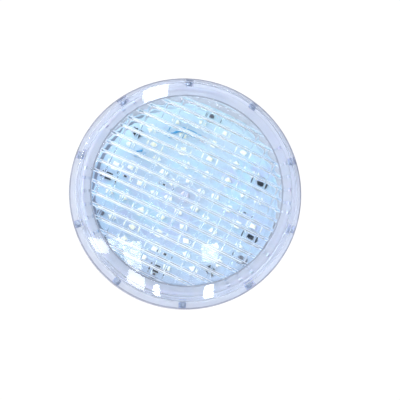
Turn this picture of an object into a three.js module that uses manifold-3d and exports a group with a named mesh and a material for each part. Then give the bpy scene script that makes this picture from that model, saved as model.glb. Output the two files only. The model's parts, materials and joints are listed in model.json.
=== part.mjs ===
// An underwater pool light: a sealed clear lamp with a two-way ribbed lens, a board of
// surface-mount LEDs, a small driver behind it and two screw terminals at the back.
// Millimetres. The lamp faces -Y, +Z is up, X is to the right seen from the front, and the
// origin is the centre of the flange's rear seat. Depths below are Y values: they grow to the rear.
import * as THREE from "three";
import { mergeVertices } from "three/addons/utils/BufferGeometryUtils.js";
import Module from "manifold-3d";

const wasm = await Module();
wasm.setup();

// ---- Driving dimensions ----
const GAP = 0.3; // clearance between pieces that rest on each other
const ROUND = 40; // sides of the large round pieces
const PI = Math.PI;

const RIM = {
  radius: 88.5, // outside of the flange
  landDepth: -27, // flat front land
  landOuter: 82.5, // where the land rounds over to the wall that goes back to the lip
  lipDepth: -13.3,
  wall: 2.3, // side wall
  plate: 4, // thickness of the rear shell's flange
  screws: 10,
  screwCircle: 84.8,
  screwPhase: -91.4, // degrees
};

const LENS = {
  radius: 72, // where the dome meets the land
  crown: -35, // depth of the dome's highest point
  wall: 3, // between the ribs
  mainRib: { pitch: 7.85, height: 1.1 },
  crossRib: { pitch: 10.3, height: 0.7 },
  ribWidth: 1.9,
  turn: -25, // degrees, direction of the main ribs
  sealRib: 79.4, // inside of the ring rib that shuts the seal in
  sealRibWall: 1.6,
};

const BOWL = {
  outer: 76.4, // the bowl is a half ellipse behind a short straight part
  wall: 2.8,
  straight: 10, // depth where the ellipse starts
  length: 52, // the ellipse's half axis to the rear
  neck: 33,
  end: 66, // depth of the flat rear end
  endWall: 3,
  spigot: 2.4, // wall that enters the lens
};

const BOARD = { radius: 73.2, front: 8, thickness: 1.6 };

// The LED rings, from the middle outwards: how many, and the angle of the first one in degrees.
const LED_RINGS = [
  { count: 6, phase: 11.5 },
  { count: 8, phase: -2.5 },
  { count: 10, phase: 19.9 },
  { count: 12, phase: 1.5 },
  { count: 18, phase: 16.5 },
];
const LED = { firstRing: 12.7, ringStep: 11.3, size: 5, height: 1.6, trackInner: 3.2, trackOuter: 1.8 };

const REGULATORS = { circle: 61.5, angles: [127, 166, 249, 289, 328, 9.4] };
const RESISTORS = [
  { angle: 153, radius: 18 },
  { angle: 162, radius: 48 },
  { angle: -108, radius: 48 },
  { angle: -16, radius: 48.5 },
];
const BOARD_SCREWS = { count: 3, circle: 65.5, phase: 71.8 };

const SINK = { radius: 60, plate: 2.5, fins: 24, finHeight: 9, finInner: 34, hub: 7 };
const DRIVER = { radius: 29, front: 38, thickness: 1.6, post: 2.6, postCircle: 21 };
const TERMINAL = { offset: 15, stem: 3.5, screw: 2, head: 4, boss: 8 };

// ---- Materials ----
const look = (color, roughness, metalness = 0) =>
  new THREE.MeshStandardMaterial({ color, roughness, metalness });
const MATERIALS = {
  clear: look(0xdfe8f8, 0.08),
  silicone: look(0xe6ebf0, 0.5),
  board: look(0xf4f7fb, 0.45),
  led: look(0xf6f3df, 0.4),
  chip: look(0x17181c, 0.5),
  darkSteel: look(0x4a4d55, 0.35, 0.9),
  aluminium: look(0xb9bec6, 0.4, 0.9),
  pad: look(0x9fb4c6, 0.8),
  laminate: look(0x1f6b45, 0.5),
  capacitor: look(0x20242c, 0.35),
  ferrite: look(0x3a3a3e, 0.7),
  nylon: look(0xece9df, 0.5),
  blue: look(0x1b62c9, 0.45),
  brown: look(0x6b4226, 0.45),
  epoxy: look(0xd9dde0, 0.35),
  rubber: look(0x26282b, 0.8),
  brass: look(0xc9a24c, 0.3, 1),
  steel: look(0xc3c7cc, 0.25, 1),
};

// ---- Shape helpers ----
const radians = (degrees) => (degrees * PI) / 180;

// The point at an angle and a radius on the lamp's face: angles turn from +X towards +Z.
function polar(angle, radius) {
  return { x: radius * Math.cos(radians(angle)), z: radius * Math.sin(radians(angle)) };
}

// The solid of a closed geometry.
function solid(geometry) {
  const bare = geometry.clone();
  bare.deleteAttribute("normal");
  bare.deleteAttribute("uv");
  const merged = mergeVertices(bare, 1e-4);
  return new wasm.Manifold(
    new wasm.Mesh({
      numProp: 3,
      vertProperties: new Float32Array(merged.attributes.position.array),
      triVerts: new Uint32Array(merged.index.array),
    }),
  );
}

// The geometry of a solid.
function geometryOf(made) {
  const { vertProperties, triVerts } = made.getMesh();
  const indexed = new THREE.BufferGeometry();
  indexed.setAttribute("position", new THREE.BufferAttribute(vertProperties, 3));
  indexed.setIndex(new THREE.BufferAttribute(triVerts, 1));
  const geometry = indexed.toNonIndexed();
  geometry.computeVertexNormals();
  return geometry;
}

// A solid turned about the lamp's axis from a closed outline of [radius, depth] points.
function turned(outline, sides = ROUND) {
  const points = outline.map(([radius, depth]) => new THREE.Vector2(radius, depth));
  if (THREE.ShapeUtils.area(points) < 0) points.reverse();
  points.push(points[0].clone());
  return solid(new THREE.LatheGeometry(points, sides));
}

// A cylinder along the lamp's axis, between two depths.
function rod(radius, from, to, place = { x: 0, z: 0 }, sides = 16) {
  const geometry = new THREE.CylinderGeometry(radius, radius, to - from, sides);
  return solid(geometry.translate(place.x, (from + to) / 2, place.z));
}

// A box given by its size and its middle.
function block(width, depth, height, x = 0, y = 0, z = 0) {
  return solid(new THREE.BoxGeometry(width, depth, height).translate(x, y, z));
}

// A solid turned about the lamp's axis, and moved out to a radius if one is given.
function around(made, angle, radius = 0) {
  const matrix = new THREE.Matrix4().makeRotationY(-radians(angle));
  matrix.multiply(new THREE.Matrix4().makeTranslation(radius, 0, 0));
  return made.transform(matrix.elements);
}

// A round wire along a smooth curve through the points.
function wire(radius, points, steps) {
  const section = new THREE.Shape().absarc(0, 0, radius, 0, 2 * PI);
  const curve = new THREE.CatmullRomCurve3(points.map((p) => new THREE.Vector3(...p)));
  return solid(new THREE.ExtrudeGeometry(section, {
    steps,
    curveSegments: 4,
    bevelEnabled: false,
    extrudePath: curve,
  }));
}

const union = (solids) => wasm.Manifold.union(solids);

// ---- The assembly ----
const lamp = new THREE.Group();

// Adds a named mesh, moved out to x and z, turned about the lamp's axis and set at a depth.
function piece(name, made, material, { x = 0, y = 0, z = 0, angle = 0 } = {}) {
  const mesh = new THREE.Mesh(geometryOf(made), material);
  mesh.name = name;
  mesh.position.set(x, y, z);
  mesh.rotation.y = -radians(angle);
  lamp.add(mesh);
}

// ---- Lens: dome with two-way ribs, flat land, front wall, lip, skirt, seal rib and screw bosses ----
const domeRadius = (LENS.radius ** 2 + (RIM.landDepth - LENS.crown) ** 2)
  / (2 * (RIM.landDepth - LENS.crown));
const domeDepth = (radius, crown) => crown + domeRadius - Math.sqrt(domeRadius ** 2 - radius ** 2);
const landBack = RIM.landDepth + 3;
const lipBack = RIM.lipDepth + 2.5;
const skirtEnd = -RIM.plate - GAP;
const domeEdge = LENS.radius - 0.5; // the cavity under the dome
const screwAngles = Array.from({ length: RIM.screws }, (_, i) =>
  RIM.screwPhase + (i * 360) / RIM.screws);

function lensOutline() {
  const groove = 0.8;
  const dome = [0, 20, 40, 58, LENS.radius - groove];
  return [
    ...dome.map((radius) => [radius, domeDepth(radius, LENS.crown)]),
    [LENS.radius, RIM.landDepth + groove],
    [LENS.radius + groove, RIM.landDepth],
    [RIM.landOuter, RIM.landDepth],
    [RIM.landOuter + 0.8, RIM.landDepth + 0.8],
    [RIM.landOuter + 0.9, RIM.lipDepth],
    [RIM.radius - 0.6, RIM.lipDepth],
    [RIM.radius, RIM.lipDepth + 0.6],
    [RIM.radius, skirtEnd],
    [RIM.radius - RIM.wall, skirtEnd],
    [RIM.radius - RIM.wall, lipBack],
    [LENS.sealRib + LENS.sealRibWall, lipBack],
    [LENS.sealRib + LENS.sealRibWall, skirtEnd],
    [LENS.sealRib, skirtEnd],
    [LENS.sealRib, landBack],
    [0, landBack],
  ];
}

// The lines of a rib net in one direction: each rib has a crest between its two feet.
function ribLines({ pitch, height }) {
  const reach = Math.ceil(LENS.radius / pitch);
  return Array.from({ length: 2 * reach + 1 }, (_, i) => (i - reach) * pitch).flatMap((middle) => [
    { at: middle - LENS.ribWidth / 2, height: 0 },
    { at: middle, height },
    { at: middle + LENS.ribWidth / 2, height: 0 },
  ]);
}

// The space under the dome. Its front follows the dome's inside and the ribs that stand on it.
function ribbedCavity() {
  const columns = ribLines(LENS.crossRib);
  const rows = ribLines(LENS.mainRib);
  const along = polar(LENS.turn, 1);
  const back = 0;
  const points = [];
  const addLayer = (depth) => {
    const first = points.length / 3;
    for (const row of rows)
      for (const column of columns) {
        const x = column.at * along.x - row.at * along.z;
        const z = column.at * along.z + row.at * along.x;
        points.push(x, depth(Math.hypot(x, z), Math.max(row.height, column.height)), z);
      }
    return (i, j) => first + j * columns.length + i;
  };
  const farthest = 1.3 * LENS.radius; // the dome's sphere reaches past this
  const front = addLayer((radius, rib) =>
    domeDepth(Math.min(radius, farthest), LENS.crown + LENS.wall) + rib);
  const rear = addLayer(() => back);
  const faces = [];
  const quad = (a, b, c, d) => faces.push(a, b, c, a, c, d);
  const right = columns.length - 1;
  const top = rows.length - 1;
  for (let j = 0; j < top; j++)
    for (let i = 0; i < right; i++) {
      quad(front(i, j), front(i + 1, j), front(i + 1, j + 1), front(i, j + 1));
      quad(rear(i, j), rear(i, j + 1), rear(i + 1, j + 1), rear(i + 1, j));
    }
  for (let i = 0; i < right; i++) {
    quad(front(i + 1, 0), front(i, 0), rear(i, 0), rear(i + 1, 0));
    quad(front(i, top), front(i + 1, top), rear(i + 1, top), rear(i, top));
  }
  for (let j = 0; j < top; j++) {
    quad(front(0, j), front(0, j + 1), rear(0, j + 1), rear(0, j));
    quad(front(right, j + 1), front(right, j), rear(right, j), rear(right, j + 1));
  }
  const geometry = new THREE.BufferGeometry();
  geometry.setAttribute("position", new THREE.Float32BufferAttribute(points, 3));
  geometry.setIndex(faces);
  return solid(geometry).intersect(rod(domeEdge, LENS.crown, back, undefined, ROUND));
}

function lens() {
  const bosses = screwAngles.map((angle) =>
    rod(3.2, lipBack - 0.5, skirtEnd, polar(angle, RIM.screwCircle), 12));
  const pilots = screwAngles.map((angle) =>
    rod(1.8, lipBack - 1.2, skirtEnd + 1, polar(angle, RIM.screwCircle), 10));
  const body = union([turned(lensOutline()), ...bosses]);
  return body.subtract(union([ribbedCavity(), ...pilots]));
}

// ---- Lens seal: an O-ring between the spigot's shoulder and the land ----
const spigotOuter = BOWL.outer - 0.4;
const spigotInner = spigotOuter - BOWL.spigot;
const spigotFront = landBack + GAP;
const shoulder = landBack + 2.8;

function sealRing() {
  const section = 1.15;
  const middle = [(spigotOuter + LENS.sealRib) / 2, (landBack + shoulder) / 2];
  const outline = Array.from({ length: 8 }, (_, i) => [
    middle[0] + section * Math.cos((i * PI) / 4),
    middle[1] + section * Math.sin((i * PI) / 4),
  ]);
  return turned(outline);
}

// ---- Rear shell: flange, spigot, bowl, neck, terminal bosses and barrier ----
const boardBack = BOARD.front + BOARD.thickness;
const ledge = boardBack + GAP;
const ledgeInner = 69;
const innerLength = BOWL.length - BOWL.wall;
const innerBowl = BOWL.outer - BOWL.wall;
const neckInner = BOWL.neck - BOWL.wall;
const endInner = BOWL.end - BOWL.endWall;

// Points on the bowl's half ellipse, from the depth of its start to the radius where it ends.
function bowlCurve(radius, length, startAngle, endRadius, steps) {
  const last = Math.acos(endRadius / radius);
  return Array.from({ length: steps + 1 }, (_, i) => {
    const t = startAngle + ((last - startAngle) * i) / steps;
    return [radius * Math.cos(t), BOWL.straight + length * Math.sin(t)];
  });
}

function shellOutline() {
  const outside = bowlCurve(BOWL.outer, BOWL.length, 0, BOWL.neck, 6);
  const inside = bowlCurve(innerBowl, innerLength, 0.12, neckInner, 5).reverse();
  return [
    [spigotInner, spigotFront],
    [spigotOuter, spigotFront],
    [spigotOuter, shoulder],
    [LENS.sealRib - GAP, shoulder],
    [LENS.sealRib - GAP, -RIM.plate],
    [RIM.radius, -RIM.plate],
    [RIM.radius, -0.6],
    [RIM.radius - 0.6, 0],
    [BOWL.outer + 1, 0],
    [BOWL.outer, 1],
    ...outside,
    [BOWL.neck, BOWL.end - 0.8],
    [BOWL.neck - 0.8, BOWL.end],
    [0, BOWL.end],
    [0, endInner],
    [neckInner, endInner],
    ...inside,
    [ledgeInner, ledge + 2.6],
    [ledgeInner, ledge],
    [spigotInner, ledge],
  ];
}

const boardScrewAngles = Array.from({ length: BOARD_SCREWS.count }, (_, i) =>
  BOARD_SCREWS.phase + (i * 360) / BOARD_SCREWS.count);
const terminalSides = [-1, 1];

function rearShell() {
  const screwPosts = boardScrewAngles.map((angle) =>
    rod(4, ledge, ledge + 8, polar(angle, BOARD_SCREWS.circle), 12));
  const terminalBosses = terminalSides.map((side) =>
    rod(TERMINAL.boss, BOWL.end - 1, BOWL.end + 3, { x: side * TERMINAL.offset, z: 0 }, 20));
  const barrier = block(2.4, 10, 30, 0, BOWL.end + 4, 0);
  const body = union([turned(shellOutline()), ...screwPosts, ...terminalBosses, barrier]);
  const cuts = [
    ...screwAngles.map((angle) => rod(3, -2.2, 1, polar(angle, RIM.screwCircle), 12)),
    ...screwAngles.map((angle) => rod(1.8, -5, -1, polar(angle, RIM.screwCircle), 10)),
    ...boardScrewAngles.map((angle) =>
      rod(1.8, ledge - 1, ledge + 6.5, polar(angle, BOARD_SCREWS.circle), 10)),
    ...terminalSides.map((side) =>
      rod(TERMINAL.stem + GAP, endInner - 1, BOWL.end + 4, { x: side * TERMINAL.offset, z: 0 })),
  ];
  return body.subtract(union(cuts));
}

// ---- Fasteners: a round head with a cross recess on a plain shank, its head towards -Y ----
function crossScrew(headRadius, headHeight, shank, length) {
  const outline = [
    [0, -headHeight],
    [headRadius * 0.7, -headHeight],
    [headRadius, -headHeight * 0.45],
    [headRadius, 0],
    [shank, 0],
    [shank, length],
    [0, length],
  ];
  const slot = block(headRadius * 1.15, headHeight, headRadius * 0.3, 0, -headHeight, 0);
  return turned(outline, 10).subtract(union([slot, around(slot, 90)]));
}

const facingBack = (made) => made.rotate([180, 0, 0]);

function addRimScrews() {
  const screw = facingBack(crossScrew(2.6, 1.6, 1.5, 9.8));
  screwAngles.forEach((angle, i) => {
    const place = polar(angle, RIM.screwCircle);
    const name = `rim_screw_${String(i + 1).padStart(2, "0")}`;
    piece(name, screw, MATERIALS.steel, { ...place, y: -1.9, angle: angle + 45 });
  });
}

// ---- LED board and what is soldered to its front ----
const leadHoles = [polar(104, 48.6), polar(133, 47.2)];

function ledBoard() {
  const disc = rod(BOARD.radius, BOARD.front, boardBack, undefined, ROUND);
  const holes = [
    rod(2.4, 0, boardBack + 1),
    ...boardScrewAngles.map((angle) =>
      rod(1.8, 0, boardBack + 1, polar(angle, BOARD_SCREWS.circle), 12)),
    ...leadHoles.map((place) => rod(1.6, 0, boardBack + 1, place, 12)),
  ];
  return disc.subtract(union(holes));
}

// One ring of LEDs, joined by the copper track that feeds them on its inner side.
function ledRing(radius, count, phase) {
  const trackBack = BOARD.front - GAP;
  const trackFront = trackBack - 0.2;
  const sides = count < 9 ? 2 * count : count;
  const track = turned([
    [radius - LED.trackInner, trackFront],
    [radius - LED.trackOuter, trackFront],
    [radius - LED.trackOuter, trackBack],
    [radius - LED.trackInner, trackBack],
  ], sides);
  const joined = around(track, phase + 90);
  const middle = trackBack - 0.05 - LED.height / 2;
  const package_ = block(LED.size, LED.height, LED.size, 0, middle, 0);
  const packages = Array.from({ length: count }, (_, i) =>
    around(package_, phase + (i * 360) / count, radius));
  return union([joined, ...packages]);
}

function addLedRings() {
  LED_RINGS.forEach(({ count, phase }, i) => {
    const radius = LED.firstRing + i * LED.ringStep;
    piece(`led_ring_${i + 1}`, ledRing(radius, count, phase), MATERIALS.led);
  });
}

// A current regulator with its heat tab, two rows of legs and a sense resistor beside it.
function regulator() {
  const back = BOARD.front - GAP;
  const land = block(9.4, 0.3, 7, 0, back - 0.15, 0);
  const body = block(6, 1.8, 6.6, -0.9, back - 0.2 - 0.9, 0);
  const sense = block(1.6, 0.7, 3.2, 3.6, back - 0.2 - 0.35, 0);
  return union([land, body, sense]);
}

// A chip resistor with end caps that stand a little proud of its body.
function chipResistor() {
  const back = BOARD.front - GAP;
  const body = block(2.4, 0.9, 1.7, 0, back - 0.5, 0);
  const caps = [-1, 1].map((side) => block(0.9, 1, 1.9, side * 1.5, back - 0.5, 0));
  return union([body, ...caps]);
}

function addBoardParts() {
  const chip = regulator();
  REGULATORS.angles.forEach((angle, i) => {
    const place = polar(angle, REGULATORS.circle);
    piece(`regulator_${i + 1}`, chip, MATERIALS.chip, { ...place, angle });
  });
  const resistor = chipResistor();
  RESISTORS.forEach(({ angle, radius }, i) => {
    const place = polar(angle, radius);
    piece(`chip_resistor_${i + 1}`, resistor, MATERIALS.chip, { ...place, angle: LENS.turn });
  });
  const screw = crossScrew(2.7, 1.7, 1.5, 7.5);
  boardScrewAngles.forEach((angle, i) => {
    const place = polar(angle, BOARD_SCREWS.circle);
    piece(`board_screw_${i + 1}`, screw, MATERIALS.darkSteel, { ...place, y: BOARD.front - GAP });
  });
}

// ---- Heat sink, its pad and its screw ----
const padFront = boardBack + GAP;
const sinkFront = padFront + 0.5 + GAP;
const sinkBack = sinkFront + SINK.plate;

function thermalPad() {
  const disc = rod(SINK.radius - 2, padFront, padFront + 0.5, undefined, 36);
  const holes = [rod(2.4, 0, 20), ...leadHoles.map((place) => rod(1.6, 0, 20, place, 12))];
  return disc.subtract(union(holes));
}

function heatSink() {
  const plate = rod(SINK.radius, sinkFront, sinkBack, undefined, 36);
  const hub = rod(SINK.hub, sinkFront, sinkBack + SINK.finHeight, undefined, 20);
  const finLength = SINK.radius - 2 - SINK.finInner;
  const fin = block(finLength, SINK.finHeight + 1, 1.6, 0, sinkBack + (SINK.finHeight - 1) / 2, 0);
  const fins = Array.from({ length: SINK.fins }, (_, i) =>
    around(fin, ((i + 0.5) * 360) / SINK.fins, SINK.finInner + finLength / 2));
  const holes = [
    rod(2.3, 0, sinkBack + 7),
    ...leadHoles.map((place) => rod(1.6, 0, 30, place, 12)),
  ];
  return union([plate, hub, ...fins]).subtract(union(holes));
}

function addHeatSink() {
  piece("thermal_pad", thermalPad(), MATERIALS.pad);
  piece("heat_sink", heatSink(), MATERIALS.aluminium);
  const screw = crossScrew(3.2, 2, 2, 10);
  piece("centre_screw", screw, MATERIALS.steel, { y: BOARD.front - GAP, angle: 20 });
}

// ---- Driver board on three posts, and its parts ----
const driverBack = DRIVER.front + DRIVER.thickness;
const onDriver = driverBack + GAP;
const padCircle = 18; // where the leads reach the driver board
const landingAngles = [104, 150];
const postAngles = [30, 210, 270];

function driverBoard() {
  const disc = rod(DRIVER.radius, DRIVER.front, driverBack, undefined, 36);
  const holes = postAngles.map((angle) =>
    rod(1.3 + GAP, 30, 45, polar(angle, DRIVER.postCircle), 10));
  return disc.subtract(union(holes));
}

// A round post from the heat sink with a pin that goes through the driver board.
function driverPost() {
  const outline = [
    [0, sinkBack + GAP],
    [DRIVER.post, sinkBack + GAP],
    [DRIVER.post, DRIVER.front - GAP],
    [1.3, DRIVER.front - GAP],
    [1.3, driverBack + 1.2],
    [0, driverBack + 1.6],
  ];
  return turned(outline, 12);
}

// An upright electrolytic capacitor with a rolled groove near its base.
function capacitor(radius, height) {
  const outline = [
    [0, 0],
    [radius, 0],
    [radius, 1.2],
    [radius - 0.5, 1.8],
    [radius, 2.4],
    [radius, height - 0.6],
    [radius - 0.6, height],
    [0, height],
  ];
  return turned(outline, 20);
}

// A wound ring core standing on its flat side.
function inductor() {
  return turned([[3, 0], [7, 0], [8, 1], [8, 5.5], [7, 6.5], [3, 6.5], [2.2, 5.5], [2.2, 1]], 16);
}

// A flat bridge rectifier with one corner cut off.
function rectifier() {
  const corner = around(block(4, 10, 4), 45);
  return block(9, 4.5, 9, 0, 2.25, 0).subtract(corner.translate([4.6, 2, 4.6]));
}

function addDriver() {
  piece("driver_board", driverBoard(), MATERIALS.laminate);
  const post = driverPost();
  postAngles.forEach((angle, i) => {
    piece(`driver_post_${i + 1}`, post, MATERIALS.nylon, polar(angle, DRIVER.postCircle));
  });
  const parts = [
    { name: "smoothing_capacitor_1", made: capacitor(5, 13), material: "capacitor", at: polar(-25, 15) },
    { name: "smoothing_capacitor_2", made: capacitor(4, 11), material: "capacitor", at: polar(62, 17) },
    { name: "inductor", made: inductor(), material: "ferrite", at: polar(180, 13) },
    { name: "bridge_rectifier", made: rectifier(), material: "chip", at: polar(-95, 8), angle: 10 },
  ];
  for (const { name, made, material, at, angle } of parts)
    piece(name, made, MATERIALS[material], { ...at, y: onDriver, angle });
}

// ---- Leads ----
const leadRadius = 0.9;

// From a solder pad on the LED board, over and down through its hole, and back to the driver board.
function boardLead(pad, over, hole, landing) {
  const front = BOARD.front - GAP - leadRadius;
  const points = [
    [pad.x, front, pad.z],
    [over.x, front - 2.4, over.z],
    [hole.x, front, hole.z],
    [hole.x, boardBack + 2, hole.z],
    [hole.x, sinkBack + 5, hole.z],
    [hole.x * 0.85, sinkBack + 13, hole.z * 0.85],
    [landing.x * 1.1, DRIVER.front - 6, landing.z * 1.1],
    [landing.x, DRIVER.front - 2.5, landing.z],
    [landing.x, DRIVER.front - 2 * GAP, landing.z],
  ];
  return wire(leadRadius, points, 36);
}

// From the inner end of a terminal post to the driver board.
function terminalLead(side) {
  const landing = { x: side * 24, z: side * 9 };
  const points = [
    [side * TERMINAL.offset, postInner - GAP, 0],
    [side * TERMINAL.offset, postInner - 3, 0],
    [landing.x * 0.95, driverBack + 7, landing.z * 0.8],
    [landing.x, onDriver + 2.5, landing.z],
    [landing.x, onDriver + GAP, landing.z],
  ];
  return wire(1.1, points, 14);
}

function addLeads() {
  const leads = [
    boardLead(polar(68.5, 46), polar(89, 50.8), leadHoles[0], polar(landingAngles[0], padCircle)),
    boardLead(polar(141, 49.5), polar(137, 49), leadHoles[1], polar(landingAngles[1], padCircle)),
  ];
  leads.forEach((lead, i) => piece(`board_lead_${i + 1}`, lead, MATERIALS.blue));
  piece("terminal_lead_1", terminalLead(-1), MATERIALS.blue);
  piece("terminal_lead_2", terminalLead(1), MATERIALS.brown);
}

// ---- Rear end: potting, gaskets, posts, clamp washers and terminal screws ----
const gasketFront = BOWL.end + 3 + GAP;
const tabFront = gasketFront + 0.8 + GAP;
const tabBack = tabFront + 1.6;
const washerFront = tabBack + GAP;
const washerBack = washerFront + 1;
const postInner = endInner - 9;

function potting() {
  const outline = [[0, -5.7], [neckInner - GAP, -5.7], [neckInner - GAP, -GAP], [0, -GAP]];
  const holes = terminalSides.map((side) =>
    rod(TERMINAL.stem + GAP, -8, 2, { x: side * TERMINAL.offset, z: 0 }));
  return turned(outline).subtract(union(holes));
}

function gasket() {
  return rod(6.4, 0, 0.8, undefined, 20).subtract(rod(TERMINAL.stem + GAP, -1, 2));
}

// A brass post with a square pad outside, a lower tongue below it and a threaded hole down its middle.
function terminalPost() {
  const stem = rod(TERMINAL.stem, postInner - tabBack, -1, undefined, 12);
  const pad = block(12, 1.6, 12, 0, -0.8, 0);
  const tongue = block(8, 1, 9, 0, -0.9, -9.5);
  return union([stem, pad, tongue]).subtract(rod(TERMINAL.screw + GAP, -12, 1, undefined, 12));
}

function clampWasher() {
  return block(10, 1, 10, 0, 0.5, 0).subtract(rod(TERMINAL.screw + GAP, -1, 2, undefined, 12));
}

function addRearEnd() {
  piece("neck_potting", potting(), MATERIALS.epoxy, { y: endInner });
  const screw = facingBack(crossScrew(TERMINAL.head, 2.4, TERMINAL.screw, 11));
  terminalSides.forEach((side, i) => {
    const x = side * TERMINAL.offset;
    piece(`terminal_gasket_${i + 1}`, gasket(), MATERIALS.rubber, { x, y: gasketFront });
    piece(`terminal_post_${i + 1}`, terminalPost(), MATERIALS.brass, { x, y: tabBack });
    piece(`clamp_washer_${i + 1}`, clampWasher(), MATERIALS.steel, { x, y: washerFront });
    piece(`terminal_screw_${i + 1}`, screw, MATERIALS.steel, { x, y: washerBack + GAP });
  });
}

piece("lens", lens(), MATERIALS.clear);
piece("lens_seal", sealRing(), MATERIALS.silicone);
piece("rear_shell", rearShell(), MATERIALS.clear);
addRimScrews();
piece("led_board", ledBoard(), MATERIALS.board);
addLedRings();
addBoardParts();
addHeatSink();
addDriver();
addLeads();
addRearEnd();

export default lamp;
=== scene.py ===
import cmath
import json
import math
import random

import bmesh
import bpy
from mathutils import Matrix, Vector


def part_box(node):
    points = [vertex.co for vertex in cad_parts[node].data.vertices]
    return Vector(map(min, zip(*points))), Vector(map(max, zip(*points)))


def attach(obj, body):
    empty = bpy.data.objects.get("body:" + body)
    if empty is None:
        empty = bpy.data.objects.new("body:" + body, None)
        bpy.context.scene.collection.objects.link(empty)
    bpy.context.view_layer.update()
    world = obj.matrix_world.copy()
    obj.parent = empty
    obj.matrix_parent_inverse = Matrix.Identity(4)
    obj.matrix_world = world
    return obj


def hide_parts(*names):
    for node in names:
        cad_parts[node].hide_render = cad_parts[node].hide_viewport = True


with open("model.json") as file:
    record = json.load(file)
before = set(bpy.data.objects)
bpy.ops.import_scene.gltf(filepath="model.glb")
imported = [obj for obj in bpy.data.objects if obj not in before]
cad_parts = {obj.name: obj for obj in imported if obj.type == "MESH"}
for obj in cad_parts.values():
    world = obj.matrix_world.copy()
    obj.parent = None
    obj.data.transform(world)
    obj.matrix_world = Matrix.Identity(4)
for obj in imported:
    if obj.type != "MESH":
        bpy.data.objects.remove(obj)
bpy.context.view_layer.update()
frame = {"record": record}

MM = 0.001
ROUND = 192  # sides of the large round pieces
RECORD = frame["record"]
BODY_OF = {
    node: body
    for body, nodes in RECORD["behaviour"]["bodies"].items()
    for node in nodes
}
chance = random.Random(7)


# ---- Sizes from the frame, in millimetres ----
def low(node):
    """The lowest corner of a CAD node."""
    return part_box(node)[0] / MM


def high(node):
    """The highest corner of a CAD node."""
    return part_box(node)[1] / MM


def middle(node):
    """The middle of a CAD node's box."""
    return (low(node) + high(node)) / 2


def extent(node):
    """The lowest corner, the highest one and the middle."""
    return low(node), high(node), middle(node)


def numbered(name, count, digits=1):
    """The names of alike nodes, counted from 1."""
    return [f"{name}_{i:0{digits}d}" for i in range(1, count + 1)]


RIM = {
    "radius": high("rear_shell").x,
    "land_depth": low("lens").y + 8.0,
    "land_outer": 82.5,
    "lip_depth": -13.3,
    "wall": 2.3,
    "plate": 4.0,
}
LENS = {
    "radius": 72.0,  # where the dome meets the land
    "crown": low("lens").y,
    "wall": 3.0,
    "main_rib": (7.85, 1.1),  # spacing and height
    "cross_rib": (10.3, 0.4),
    "rib_width": 3.0,
    "turn": -25.0,  # direction of the main ribs
    "seal_rib": 79.4,
    "seal_rib_wall": 1.6,
}
BOWL = {
    "outer": 76.4,
    "wall": 2.8,
    "straight": 10.0,
    "length": 52.0,
    "neck": 33.0,
    "end": 66.0,
    "end_wall": 3.0,
    "spigot": 2.4,
}
BOARD_FRONT = low("led_board").y
BOARD_BACK = high("led_board").y
LED_RINGS = ((6, 11.5), (8, -2.5), (10, 19.9), (12, 1.5), (18, 16.5))  # count, first angle
FIRST_RING = 12.7  # radius of the inmost ring of LEDs
RING_STEP = 11.3  # from one ring of LEDs to the next
LED_SIZE = 5.0
LED_HEIGHT = 1.6
SURFACE_GAP = 0.3  # between pieces that rest on each other, as in the CAD
PAD_BACK = BOARD_FRONT - SURFACE_GAP

DOME_RISE = RIM["land_depth"] - LENS["crown"]
DOME_RADIUS = (LENS["radius"] ** 2 + DOME_RISE**2) / (2 * DOME_RISE)
LAND_BACK = RIM["land_depth"] + 3
LIP_BACK = RIM["lip_depth"] + 2.5
SKIRT_END = high("lens").y
DOME_EDGE = LENS["radius"] - 0.5
CREASE = 0.6  # half the width of the crease, and its depth


def dome_depth(radius, crown):
    """The depth of the dome's sphere at a radius."""
    return crown + DOME_RADIUS - math.sqrt(DOME_RADIUS**2 - radius**2)


def polar(angle, radius):
    """The x and z of a point on the lamp's face."""
    turn = math.radians(angle)
    return radius * math.cos(turn), radius * math.sin(turn)


def place(x=0.0, y=0.0, z=0.0, angle=0.0):
    """A matrix that turns a shape about the lamp's axis and then moves it."""
    return Matrix.Translation((x, y, z)) @ Matrix.Rotation(-math.radians(angle), 4, "Y")


def out_to(angle, radius, y=0.0):
    """A matrix that moves a shape out along an angle, its own X pointing outwards."""
    x, z = polar(angle, radius)
    return place(x, y, z, angle)


FACING_BACK = Matrix.Rotation(math.pi, 4, "X")


# ---- Shapes ----
def rounded(corners, steps=5):
    """A closed outline from (radius, depth, fillet) corners, each fillet as an arc.

    Each arc gets one more point just past each end, so the flats beside it shade flat.
    """
    points = []
    count = len(corners)
    for i, (x, y, fillet) in enumerate(corners):
        here = complex(x, y)
        if fillet == 0:
            points.append(here)
            continue
        before = complex(*corners[i - 1][:2]) - here
        after = complex(*corners[(i + 1) % count][:2]) - here
        half = abs(cmath.phase(after / before)) / 2
        reach = min(fillet / math.tan(half), 0.42 * abs(before), 0.42 * abs(after))
        before /= abs(before)
        after /= abs(after)
        start = here + before * reach
        end = here + after * reach
        across = before + after
        centre = here + across / abs(across) * reach / math.cos(half)
        turn = cmath.phase((end - centre) / (start - centre))
        points.append(start + before * reach * 0.15)
        for k in range(steps + 1):
            points.append(centre + (start - centre) * cmath.exp(1j * turn * k / steps))
        points.append(end + after * reach * 0.15)
    return [(point.real, point.imag) for point in points]


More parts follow.
